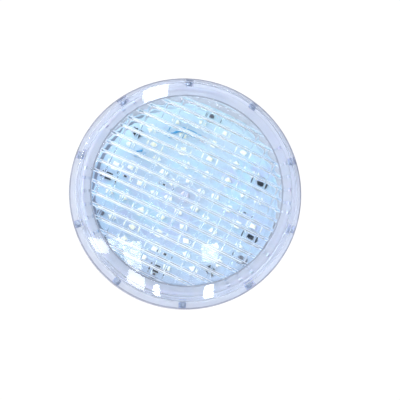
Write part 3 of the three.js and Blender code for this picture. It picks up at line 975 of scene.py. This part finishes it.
# ---- Fasteners ----
def thread(radius, pitch, start, end, sides=20):
    """A screw thread between two depths, with a pointed lead-in at its end."""
    depth = 0.6 * pitch
    rows_per_turn = 4
    rows = int((end - start) / pitch * rows_per_turn)
    shape = bmesh.new()
    rings = []
    for j in range(rows + 1):
        y = start + (end - start) * j / rows
        taper = min(1.0, (end - y) / (2 * pitch) + 0.25)
        row = []
        for k in range(sides):
            phase = (j / rows_per_turn + k / sides) % 1.0
            crest = 1 - abs(2 * phase - 1)
            size = radius - depth * (1 - crest * taper)
            t = 2 * math.pi * k / sides
            row.append(shape.verts.new((size * math.cos(t), y, size * math.sin(t))))
        rings.append(row)
    return skinned(shape, rings)


def cross_head(radius, height):
    """A domed pan head towards -Y with a tapered cross recess."""
    head = lathe([
        (0, 0, 0),
        (0, -height, 0),
        (radius * 0.72, -height * 0.96, radius * 0.6),
        (radius, -height * 0.35, radius * 0.35),
        (radius, 0, radius * 0.06),
    ], 6, 40)
    for turn in (0, 90):
        wing = block(radius * 1.2, height * 1.3, radius * 0.27, 0, (0, -height, 0))
        for vert in wing.verts:
            if vert.co.y > -height:
                vert.co.x *= 0.35
                vert.co.z *= 0.6
        head = cut(head, moved(wing, place(angle=turn)))
    return head


def screw(head_radius, head_height, shank, pitch, length):
    """A pan-head screw whose head's underside is at depth zero."""
    return together(
        cross_head(head_radius, head_height),
        thread(shank, pitch, -0.05, length),
    )


def add_screws():
    """The rim and board screws, and the one in the middle of the board."""
    rim = screw(2.6, 1.6, 1.5, 0.5, 9.8)
    for node in RIM_SCREWS:
        lean = place(angle=chance.uniform(0, 90))
        under = high(node).y - 1.6
        at = screw_place(node, under) @ lean @ FACING_BACK
        Piece(node).add(rim, POOL_STEEL, at=at, keep=True).show()
    board = screw(2.7, 1.7, 1.5, 0.5, 7.5)
    for node in BOARD_SCREWS:
        at = screw_place(node, PAD_BACK) @ place(angle=chance.uniform(0, 90))
        Piece(node).add(board, DARK_STEEL, at=at, keep=True).show()
    centre = screw(3.2, 2.0, 2.0, 0.7, 10)
    Piece("centre_screw").add(centre, ZINC, at=place(y=PAD_BACK, angle=20)).show()


# ---- LED board ----
LEAD_HOLES = (polar(104, 48.6), polar(133, 47.2))


def holes_through(start, end, centre_radius, screws=True):
    """Cutters for the middle, the board screws and the two leads."""
    holes = [rod(centre_radius, start, end, 32)]
    if screws:
        holes += at_screws(BOARD_SCREWS, SCREW_HOLE, start, end)
    holes += [moved(rod(1.6, start, end), place(x=x, z=z)) for x, z in LEAD_HOLES]
    return together(*holes)


def add_led_board():
    """The round white board with the tracks that join its rings and a bare edge of aluminium."""
    radius = high("led_board").x
    mask_back = BOARD_FRONT + 0.12
    mask = ring(0, radius - 0.5, BOARD_FRONT, mask_back, (0, 0.05, 0, 0))
    core_front = mask_back - 0.02  # a little inside the mask, so that no faces coincide
    core = ring(0, radius, core_front, BOARD_BACK, (0, 0.08, 0.12, 0))
    piece = Piece("led_board")
    piece.add(cut(mask, holes_through(0, 20, 2.4)), BOARD)
    piece.add(cut(core, holes_through(0, 20, 2.4)), ALUMINIUM)
    front = BOARD_FRONT - 0.06
    for k in range(24):  # tracks that run outwards between the rings
        step = k % 4
        angle = 15 * k + 8 * step + 4
        inner = FIRST_RING + step * RING_STEP - 1.5
        strip = block(6.2, 0.14, 1.1, 0.05, (inner + 5.3, front, 0))
        piece.add(strip, TRACK, at=place(angle=angle))
    for k in range(18):  # bare test pads near the edge
        pad = rod(0.8, front - 0.04, front + 0.08, 20, 0.02)
        piece.add(pad, TIN, at=out_to(20 * k + 7, 67.2))
    piece.show()


def led_package():
    """A 5 mm LED: package, lip, round window, six legs and corner mark, each with its material."""
    back = PAD_BACK - 0.05
    front = back - LED_HEIGHT
    half = LED_SIZE / 2
    top = front + 0.4
    side = LED_SIZE - 0.1
    body = block(side, back - top - 0.1, side, 0.22, (0, (top + back) / 2 - 0.05, 0))
    lip = lathe([
        (1.94, top + 0.2, 0),
        (1.97, top - 0.06, 0.03),
        (2.26, top - 0.06, 0.04),
        (2.30, top + 0.2, 0),
    ], 2, 28)
    rise = 0.42
    radius = 2.0
    turns = [math.pi / 2 * k / 6 for k in range(7)]
    dome = [(radius * math.sin(t), front + rise * (1 - math.cos(t))) for t in turns]
    base = front + rise + 0.2
    window = turned([*dome, (radius, base), (0, base)], 28)
    legs = []
    for side in (-1, 1):
        for row in (-1.6, 0, 1.6):
            legs.append(block(0.3, 0.9, 0.9, 0.06, (side * (half - 0.02), back - 0.4, row), 1))
            legs.append(block(0.9, 0.16, 1.1, 0.05, (side * (half + 0.25), back + 0.02, row), 1))
    mark = block(0.6, 0.06, 0.6, 0.02, (2.0, top, 2.0), 1)
    return (
        (body, LED_WHITE),
        (lip, LED_LIP_SHADE),
        (window, PHOSPHOR),
        (together(*legs), TIN),
        (mark, PHOSPHOR),
    )


def add_led_rings():
    """Each ring of LEDs with the covered copper track that feeds it."""
    parts = led_package()
    for i, (count, phase) in enumerate(LED_RINGS):
        radius = FIRST_RING + i * RING_STEP
        piece = Piece(f"led_ring_{i + 1}")
        edges = (0.08, 0.08, 0, 0)
        track = ring(radius - 3.2, radius - 1.8, PAD_BACK - 0.2, PAD_BACK, edges, sides=120)
        piece.add(track, TRACK)
        for k in range(count):
            at = place(angle=phase + k * 360 / count) @ Matrix.Translation((radius, 0, 0))
            at = at @ place(angle=chance.uniform(-2, 2))
            for shape, look in parts:
                piece.add(shape, look, at=at, keep=True)
        piece.show()


def add_regulators():
    """Eight-legged current regulators, each on its covered copper beside a sense resistor."""
    for node in numbered("regulator", 6):
        spot = middle(node)
        piece = Piece(node)
        top = PAD_BACK - 2.0
        at = place(spot.x, 0, spot.z, math.degrees(math.atan2(spot.z, spot.x)))
        piece.add(block(9.4, 0.16, 7.0, 0.06, (0, PAD_BACK - 0.1, 0)), TRACK, at=at)
        body = block(6.0, 1.6, 5.4, 0.25, (-0.9, top + 0.8, 0))
        for vert in body.verts:
            if vert.co.y < top + 0.5:
                vert.co.x = -0.9 + (vert.co.x + 0.9) * 0.95
                vert.co.z *= 0.95
        piece.add(body, BLACK, at=at)
        dimple = ring(0, 0.45, top - 0.01, top + 0.1, (0, 0.02, 0, 0), sides=16)
        piece.add(dimple, TRACK, at=at @ Matrix.Translation((-3.0, 0, -1.8)))
        for side in (-1, 1):
            for k in range(4):
                x = -0.9 + (k - 1.5) * 1.3
                knee = block(0.42, 0.9, 0.2, 0.05, (x, PAD_BACK - 0.75, side * 2.78), 1)
                foot = block(0.42, 0.18, 0.6, 0.05, (x, PAD_BACK - 0.3, side * 3.0), 1)
                piece.add(knee, TIN, at=at)
                piece.add(foot, TIN, at=at)
        piece.add(block(1.6, 0.5, 2.2, 0.08, (3.6, PAD_BACK - 0.5, 0)), BLACK, at=at)
        for side in (-1, 1):
            cap = block(1.62, 0.56, 0.5, 0.08, (3.6, PAD_BACK - 0.5, side * 1.32))
            piece.add(cap, TIN, at=at)
        piece.show()


def add_chip_resistors():
    for node in numbered("chip_resistor", 4):
        spot = middle(node)
        piece = Piece(node)
        at = place(spot.x, 0, spot.z, LENS["turn"])
        piece.add(block(2.4, 0.8, 1.7, 0.08, (0, PAD_BACK - 0.5, 0)), BLACK, at=at)
        for side in (-1, 1):
            cap = block(0.62, 0.88, 1.76, 0.1, (side * 1.4, PAD_BACK - 0.5, 0))
            blob = block(0.8, 0.3, 1.9, 0.12, (side * 1.75, PAD_BACK - 0.16, 0))
            piece.add(cap, TIN, at=at)
            piece.add(blob, TIN, at=at)
        piece.show()


# ---- Heat sink ----
SINK_PLATE = 2.5  # thickness of the heat sink's plate


def add_heat_sink():
    """The plate with its hub and fins, and the silicone pad under it."""
    lowest, highest = extent("thermal_pad")[:2]
    pad = ring(0, highest.x, lowest.y, highest.y, (0, 0.1, 0.1, 0), sides=144)
    pad = cut(pad, holes_through(0, 20, 2.4, screws=False))
    Piece("thermal_pad").add(pad, PAD).show()
    first, last = extent("heat_sink")[:2]
    radius = last.x
    back = first.y + SINK_PLATE
    plate = lathe([
        (0, first.y, 0),
        (radius, first.y, 0.3),
        (radius, back, 0.5),
        (7, back, 0.6),
        (7, last.y, 0.5),
        (0, last.y, 0),
    ], 4, 144)
    plate = cut(plate, holes_through(0, 30, 2.15, screws=False))
    piece = Piece("heat_sink").add(plate, ALUMINIUM)
    inner = 34.0
    length = radius - 2 - inner
    depth = last.y - back + 0.4
    for k in range(24):
        fin = block(length, depth, 1.6, 0.35, (inner + length / 2, last.y - depth / 2, 0), 3)
        for vert in fin.verts:
            if vert.co.y > back + 1:
                vert.co.z *= 0.82
        piece.add(fin, ALUMINIUM, at=place(angle=15 * (k + 0.5)))
    piece.show()


# ---- Driver ----
DRIVER_FRONT = low("driver_board").y
DRIVER_BACK = high("driver_board").y
DRIVER_POSTS = numbered("driver_post", 3)


def solder_joint(radius=1.0, height=0.9):
    """A cone of solder round a pin, towards -Y."""
    return turned([
        (0, 0.02),
        (radius, 0.02),
        (radius * 0.75, -0.18 * height),
        (radius * 0.42, -0.6 * height),
        (radius * 0.3, -height),
        (0, -height * 1.1),
    ], 16)


def add_driver_board():
    """The driver's board with its copper and the solder joints on its front."""
    board = ring(0, 29, DRIVER_FRONT, DRIVER_BACK, (0, 0.12, 0.12, 0), sides=144)
    board = cut(board, *at_screws(DRIVER_POSTS, 1.6, DRIVER_FRONT - 5, DRIVER_BACK + 5))
    piece = Piece("driver_board").add(board, LAMINATE)
    edges = (0, 0, 0.02, 0.02)
    piece.add(
        ring(26.4, 27.4, DRIVER_BACK - 0.02, DRIVER_BACK + 0.05, edges, 1, 120), MASKED_COPPER
    )
    for k in range(14):
        angle = k * 360 / 14 + 6
        length = 5 + 3.5 * (k % 3)
        strip = block(length, 0.08, 1.3, 0.03, (26 - length / 2, DRIVER_BACK + 0.01, 0), 1)
        piece.add(strip, MASKED_COPPER, at=place(angle=angle))
    for k in range(16):
        radius = 8 + 4 * (k % 4)
        angle = k * 137.5
        piece.add(solder_joint(), TIN, at=out_to(angle, radius, DRIVER_FRONT))
    piece.show()


def add_driver_posts():
    """Nylon posts with a snap pin through the board."""
    for node in DRIVER_POSTS:
        first = low(node).y
        last = high(node).y
        body = lathe([
            (0, first, 0),
            (2.6, first, 0.3),
            (2.6, first + 2.2, 0.3),
            (2.1, first + 3.0, 0.3),
            (2.1, DRIVER_FRONT - 3.0, 0.3),
            (2.6, DRIVER_FRONT - 2.4, 0.3),
            (2.6, DRIVER_FRONT - 0.3, 0.2),
            (1.3, DRIVER_FRONT - 0.3, 0),
            (1.3, DRIVER_BACK + 0.1, 0),
            (1.55, DRIVER_BACK + 0.5, 0.2),
            (0.8, last, 0.3),
            (0, last, 0),
        ], 3, 32)
        Piece(node).add(body, NYLON, at=screw_place(node)).show()


def add_capacitors():
    """Sleeved cans with a rolled groove, a polarity stripe and a scored vent."""
    for node in ("smoothing_capacitor_1", "smoothing_capacitor_2"):
        lowest, highest, spot = extent(node)
        radius = (highest.x - lowest.x) / 2
        height = highest.y - lowest.y
        at = place(spot.x, lowest.y, spot.z, 40)
        can = lathe([
            (0, 0, 0),
            (radius - 0.3, 0, 0.2),
            (radius, 0.5, 0.3),
            (radius, 1.2, 0.3),
            (radius - 0.5, 1.8, 0.4),
            (radius, 2.4, 0.3),
            (radius, height, 0.7),
            (radius - 1.1, height - 0.05, 0.1),
            (radius - 1.2, height - 0.3, 0),
            (0, height - 0.3, 0),
        ], 4, 64)
        for face in can.faces:
            at_face = face.calc_center_median()
            turn = math.degrees(math.atan2(at_face.z, at_face.x))
            on_stripe = 2.9 < at_face.y < height - 0.9 and abs(turn) < 26
            face.material_index = int(on_stripe)
        piece = Piece(node).add(can, SLEEVE, STRIPE, at=at)
        lid = lathe([
            (0, height - 0.4, 0),
            (radius - 1.15, height - 0.4, 0),
            (radius - 1.15, height - 0.16, 0.08),
            (0, height - 0.12, 0),
        ], 2, 48)
        for turn in (0, 60, 120):
            groove = block(radius * 1.5, 0.12, 0.22, 0, (0, height - 0.12, 0))
            lid = cut(lid, moved(groove, place(angle=turn)))
        piece.add(lid, ALUMINIUM, at=at)
        piece.show()


def add_inductor():
    """A ferrite ring on its side with one layer of copper wire wound round it."""
    node = "inductor"
    lowest, highest, spot = extent(node)
    outer = (highest.x - lowest.x) / 2
    height = highest.y - lowest.y
    inner = 2.2
    wire = 0.34
    at = place(spot.x, spot.y, spot.z)
    core_outer = outer - 2 * wire
    core_inner = inner + 2 * wire + 0.2
    half = height / 2 - 2 * wire
    core = ring(core_inner, core_outer, -half, half, (0.6, 0.8, 0.8, 0.6), 4, 72)
    piece = Piece(node).add(core, FERRITE, at=at)
    turns = 26
    steps = 16
    middle_radius = (core_outer + core_inner) / 2
    reach_in = (core_outer - core_inner) / 2 + wire
    reach_up = half + wire
    path = []
    for k in range(turns * steps + 1):
        t = 2 * math.pi * k / steps
        around = math.radians(20 + 320 * k / (turns * steps))
        c = math.cos(t)
        s = math.sin(t)
        squared = 1 / max(abs(c), abs(s)) ** 0.55  # nearly square loops, as wire on a core lies
        radius = middle_radius + reach_in * min(1, max(-1, c * squared))
        y = reach_up * min(1, max(-1, s * squared))
        path.append(Vector((radius * math.cos(around), y, radius * math.sin(around))))
    piece.add(tube(path, wire, 8), WINDING, at=at)
    piece.show()


def add_rectifier():
    """A flat bridge rectifier: cut corner, chamfered edges and four legs down to the board."""
    node = "bridge_rectifier"
    lowest, highest, spot = extent(node)
    depth = highest.y - lowest.y
    at = place(spot.x, lowest.y, spot.z, 10)
    body = block(9, depth - 0.5, 9, 0, (0, depth / 2 + 0.25, 0))
    corner = moved(block(4, 10, 4, 0), place(4.6, 2, 4.6, 45))
    body = cut(body, corner)
    bmesh.ops.bevel(body, geom=list(body.edges), offset=0.35, segments=3, affect="EDGES")
    piece = Piece(node).add(body, BLACK, at=at)
    for x in (-3, 3):
        for z in (-3, 3):
            if x + z < 6:
                leg = rod(0.4, -0.25, 0.8, 12)
                piece.add(leg, TIN, at=at @ Matrix.Translation((x, 0, z)))
    mark = block(2.4, 0.08, 0.5, 0.03, (-2, depth, -2), 1)
    piece.add(mark, STRIPE, at=at)
    piece.show()


# ---- Leads ----
LEAD_RADIUS = 0.9


def lead(node, path, radius, colour, bare_start, bare_end):
    """An insulated wire whose stripped ends are tinned and soldered down."""
    shown = path[bare_start:len(path) - bare_end]
    piece = Piece(node)
    piece.add(tube(shown, radius, 16), colour)
    core = radius * 0.55
    ends = ((path[:bare_start + 2], 0), (path[len(path) - bare_end - 2:], -1))
    for bare, tip in ends:
        piece.add(tube(bare, core, 10), COPPER)
        blob = turned([
            (0, -core * 1.6),
            (core * 1.2, -core * 1.3),
            (core * 2.0, -core * 0.5),
            (core * 2.3, core * 0.3),
            (core * 2.0, core * 0.8),
            (0, core * 0.9),
        ], 18)
        spot = path[tip]
        piece.add(blob, TIN, at=place(spot.x, spot.y, spot.z))
    piece.show()


def board_lead(node, pad, over, hole, landing):
    """From a pad on the LED board, over and down through its hole, back to the driver board."""
    front = PAD_BACK - LEAD_RADIUS
    sink_back = low("heat_sink").y + SINK_PLATE
    points = [
        (pad[0], front, pad[1]),
        (over[0], front - 2.4, over[1]),
        (hole[0], front, hole[1]),
        (hole[0], BOARD_BACK + 2, hole[1]),
        (hole[0], sink_back + 5, hole[1]),
        (hole[0] * 0.85, sink_back + 13, hole[1] * 0.85),
        (landing[0] * 1.1, DRIVER_FRONT - 6, landing[1] * 1.1),
        (landing[0], DRIVER_FRONT - 2.5, landing[1]),
        (landing[0], DRIVER_FRONT - 0.6, landing[1]),
    ]
    lead(node, curve_through(points, 160), LEAD_RADIUS, BLUE, 6, 5)


def terminal_lead(node, side, colour):
    """From the inner end of a terminal post to the driver board."""
    post_end = low(f"terminal_post_{1 if side < 0 else 2}").y
    x = 15.0 * side
    far = (24.0 * side, 9.0 * side)
    points = [
        (x, post_end - 0.3, 0),
        (x, post_end - 3, 0),
        (far[0] * 0.95, DRIVER_BACK + 7, far[1] * 0.8),
        (far[0], DRIVER_BACK + 2.8, far[1]),
        (far[0], DRIVER_BACK + 0.6, far[1]),
    ]
    lead(node, curve_through(points, 70), 1.1, colour, 5, 5)


def add_leads():
    """The LED board's two leads through its lead holes, and the terminals' two leads."""
    board_lead("board_lead_1", polar(68.5, 46), polar(89, 50.8), LEAD_HOLES[0], polar(104, 18))
    board_lead("board_lead_2", polar(141, 49.5), polar(137, 49), LEAD_HOLES[1], polar(150, 18))
    terminal_lead("terminal_lead_1", -1, BLUE)
    terminal_lead("terminal_lead_2", 1, BROWN)


# ---- Rear end ----
def add_potting():
    """Cast resin that has crept up the posts and the wall a little."""
    lowest, highest = extent("neck_potting")[:2]
    radius = highest.x
    body = lathe([
        (0, lowest.y + 0.35, 0),
        (5, lowest.y + 0.3, 0),
        (radius - 5, lowest.y + 0.35, 0),
        (radius - 1.5, lowest.y + 0.22, 0),
        (radius, lowest.y, 0.1),
        (radius, highest.y, 0.2),
        (0, highest.y, 0),
    ], 3, 144)
    body = cut(body, *at_posts(3.55, lowest.y - 2, highest.y + 2, 32))
    Piece("neck_potting").add(body, RESIN).show()


def add_gasket(i):
    node = f"terminal_gasket_{i}"
    lowest, highest, spot = extent(node)
    body = ring(3.6, 6.4, lowest.y, highest.y, (0.1, 0.25, 0.25, 0.1), 4, 64)
    Piece(node).add(body, RUBBER, at=place(x=spot.x)).show()


def add_post(i):
    """A brass stem with a square pad outside, a lower tongue and a tapped hole."""
    node = f"terminal_post_{i}"
    lowest, highest, spot = extent(node)
    at = place(x=spot.x)
    stem = ring(0, 3.5, lowest.y, highest.y - 1.0, (0, 0.4, 0, 0), 3, 48)
    body = fused(stem, block(12, 1.6, 12, 0.3, (0, highest.y - 0.8, 0), 3))  # the pad
    body = fused(body, block(8, 1, 9, 0.25, (0, highest.y - 0.9, -9.5), 3))  # the tongue
    body = cut(body, rod(2.05, highest.y - 12, highest.y + 1, 32))
    piece = Piece(node).add(body, BRASS, at=at)
    for k in range(3):  # turned rings that grip the potting
        y = lowest.y + 4.2 + 1.4 * k
        grip = turned([(3.4, y), (3.52, y + 0.2), (3.52, y + 0.6), (3.4, y + 0.8)], 48)
        piece.add(grip, BRASS, at=at)
    piece.show()


def add_clamp_washer(i):
    """A square clamp washer with its corners turned down and grip lines pressed in."""
    node = f"clamp_washer_{i}"
    lowest, highest, spot = extent(node)
    body = block(10, highest.y - lowest.y, 10, 0.28, (0, spot.y, 0), 3)
    body = cut(body, rod(2.3, lowest.y - 2, highest.y + 2, 40))
    for row in (-4.1, -3.3, 3.3, 4.1):
        body = cut(body, block(7, 0.3, 0.3, 0, (0, highest.y, row)))
    Piece(node).add(body, STEEL, at=place(x=spot.x)).show()


def add_terminal_screw(i):
    node = f"terminal_screw_{i}"
    under = high(node).y - 2.4
    made = screw(4.0, 2.4, 1.95, 0.7, 11)
    at = place(x=middle(node).x, y=under, angle=30 * i) @ FACING_BACK
    Piece(node).add(made, STEEL, at=at).show()


# ---- Camera, light and floor ----
# These are placed in metres, and only the floor's shape is in millimetres.
VIEW_AZIMUTH = -4.6
VIEW_ELEVATION = -7.0
VIEW_DISTANCE = 0.9
VIEW_LENS = 106.0
VIEW_SHIFT = Vector((0.0110, -0.0052, 0))  # of the picture's middle from the rim's, seen head-on
RIM_MIDDLE = Vector((0, -0.008, 0))
FLOOR_RADIUS = 2300


def add_camera():
    """The camera stands a little below and left of the lamp's axis."""
    data = bpy.data.cameras.new("camera")
    data.lens = VIEW_LENS
    data.sensor_width = 36
    data.clip_start = 0.01
    camera = bpy.data.objects.new("camera", data)
    bpy.context.scene.collection.objects.link(camera)
    bpy.context.scene.camera = camera
    azimuth = math.radians(VIEW_AZIMUTH)
    elevation = math.radians(VIEW_ELEVATION)
    back = Vector((
        math.sin(azimuth) * math.cos(elevation),
        -math.cos(azimuth) * math.cos(elevation),
        math.sin(elevation),
    ))
    turn = back.to_track_quat("Z", "Y")
    aim = RIM_MIDDLE + turn @ VIEW_SHIFT
    camera.location = aim + back * VIEW_DISTANCE
    camera.rotation_euler = turn.to_euler()
    return camera.location.copy()


def soft_box(name, at, aim, width, height, power, spread=180):
    """A rectangular soft light that faces a point, its beam this many degrees wide."""
    data = bpy.data.lights.new(name, "AREA")
    data.shape = "RECTANGLE"
    data.size = width
    data.size_y = height
    data.energy = power
    data.spread = math.radians(spread)
    made = bpy.data.objects.new(name, data)
    made.location = at
    made.rotation_euler = (Vector(at) - Vector(aim)).to_track_quat("Z", "Y").to_euler()
    made.visible_camera = False
    bpy.context.scene.collection.objects.link(made)
    return made


def mirror_spot(eye, x, z, distance):
    """Where a light must be for the eye to see its reflection at a point of the lamp's front."""
    radius = math.hypot(x, z)
    if radius < LENS["radius"]:
        point = Vector((x, dome_depth(radius, LENS["crown"]), z)) * MM
        centre = Vector((0, LENS["crown"] + DOME_RADIUS, 0)) * MM
        normal = (point - centre).normalized()
    else:
        point = Vector((x, RIM["land_depth"], z)) * MM
        normal = Vector((0, -1, 0))
    along = (point - eye).normalized()
    return point, point + along.reflect(normal) * distance


GLOSS = 0.04  # the share of light that plastic reflects
LAND_PANEL = (0.15, 12, 91)  # distance in metres, beam in degrees, and how much the beam gathers
DOME_PANEL = (0.8, 180, 1)


def add_lights(eye):
    """Overall soft light, and window-like panels whose reflections lie on the land and the dome."""
    # each panel: where its reflection lies (x, z), its width and height, and how bright it looks
    land_glare = (
        (-24.0, 76.0, 0.022, 0.034, 0.19),
        (-22.8, -77.0, 0.005, 0.013, 0.30),
        (15.5, -76.5, 0.008, 0.014, 0.30),
        (-66.0, -42.0, 0.018, 0.013, 0.14),
        (-38.0, -69.5, 0.014, 0.022, 0.16),
    )
    dome_glare = (
        (-40.5, -53.0, 0.085, 0.19, 0.26),
        (-53.0, -41.0, 0.09, 0.06, 0.20),
        (16.6, -47.5, 0.09, 0.085, 0.24),
    )
    panels = [(spot, LAND_PANEL) for spot in land_glare]
    panels += [(spot, DOME_PANEL) for spot in dome_glare]
    for i, ((x, z, width, height, glow), (distance, spread, gain)) in enumerate(panels):
        point, spot = mirror_spot(eye, x, z, distance)
        power = glow * math.pi * width * height / (GLOSS * gain)
        soft_box(f"panel_{i + 1}", spot, point, width, height, power, spread)
    soft_box("key", (-1.15, -1.0, 0.65), (0, 0, 0), 0.40, 0.40, 18.8)
    along = polar(LENS["turn"], 1)
    across = (-along[1], along[0])
    left = Vector((-0.035, -0.02, 0.0))
    reach = 0.9
    lean = math.radians(48)
    spot = left + reach * Vector((
        across[0] * math.sin(lean) - 0.06 * along[0],
        -math.cos(lean),
        across[1] * math.sin(lean) - 0.06 * along[1],
    ))
    soft_box("rib_light", spot, left, 0.16, 0.16, 1.2)
    soft_box("rear", (0.5, 1.3, 0.8), (0, 0.04, 0), 0.9, 0.9, 3)


def add_world():
    """A studio: white to the camera, else pale lavender behind the lamp and grey before it."""
    world = bpy.data.worlds.new("studio")
    bpy.context.scene.world = world
    world.use_nodes = True
    tree = world.node_tree
    tree.nodes.clear()

    def ramp(source, start, end, dark, pale):
        inputs = {"Value": source, "From Min": start, "From Max": end}
        share = add_node(tree, "MapRange", inputs, interpolation_type="SMOOTHSTEP")
        inputs = {"Factor": share.outputs["Result"], "A": dark, "B": pale}
        return add_node(tree, "Mix", inputs, data_type="RGBA").outputs["Result"]

    way = add_node(tree, "TexCoord", {}).outputs["Generated"]
    split = add_node(tree, "SeparateXYZ", {"Vector": way}).outputs
    front = ramp(split["Z"], -0.8, 0.8, (0.14, 0.16, 0.21, 1), (0.46, 0.48, 0.52, 1))
    whole = ramp(split["Y"], 0.4, 0.97, front, (0.80, 0.77, 0.85, 1))
    around = add_node(tree, "Background", {"Color": whole})
    seen = add_node(tree, "Background", {"Color": (1, 1, 1, 1), "Strength": 1.05})
    mix = add_node(tree, "MixShader", {
        "Fac": add_node(tree, "LightPath", {}).outputs["Is Camera Ray"],
        1: around.outputs["Background"],
        2: seen.outputs["Background"],
    })
    add_node(tree, "OutputWorld", {"Surface": mix.outputs["Shader"]})


def add_floor():
    """A pale round floor well below the lamp."""
    shape = rod(FLOOR_RADIUS, 0, 4, 96)
    mesh = bpy.data.meshes.new("floor")
    shape.transform(Matrix.Scale(MM, 4) @ Matrix.Rotation(-math.pi / 2, 4, "X"))
    shape.to_mesh(mesh)
    shape.free()
    floor = bpy.data.objects.new("floor", mesh)
    floor.location = (0, 0.05, -0.30)
    look = Look("floor", (0.90, 0.91, 0.93), 0.8)
    look.tones(look.noise(200, 2), (0.88, 0.89, 0.915))
    look.set("Emission Color", (0.9, 0.92, 0.97, 1)).set("Emission Strength", 0.35)
    mesh.materials.append(look.made)
    bpy.context.scene.collection.objects.link(floor)


# ---- The lamp ----
eye = add_camera()
add_world()
add_lights(eye)
add_floor()
add_lens()
add_lens_seal()
add_rear_shell()
add_screws()
add_led_board()
add_led_rings()
add_regulators()
add_chip_resistors()
add_heat_sink()
add_driver_board()
add_driver_posts()
add_capacitors()
add_inductor()
add_rectifier()
add_leads()
add_potting()
for terminal in TERMINALS:
    add_gasket(terminal)
    add_post(terminal)
    add_clamp_washer(terminal)
    add_terminal_screw(terminal)

scene = bpy.context.scene
scene.view_settings.view_transform = "Standard"
scene.cycles.max_bounces = 24
scene.cycles.transmission_bounces = 24
scene.cycles.transparent_max_bounces = 24
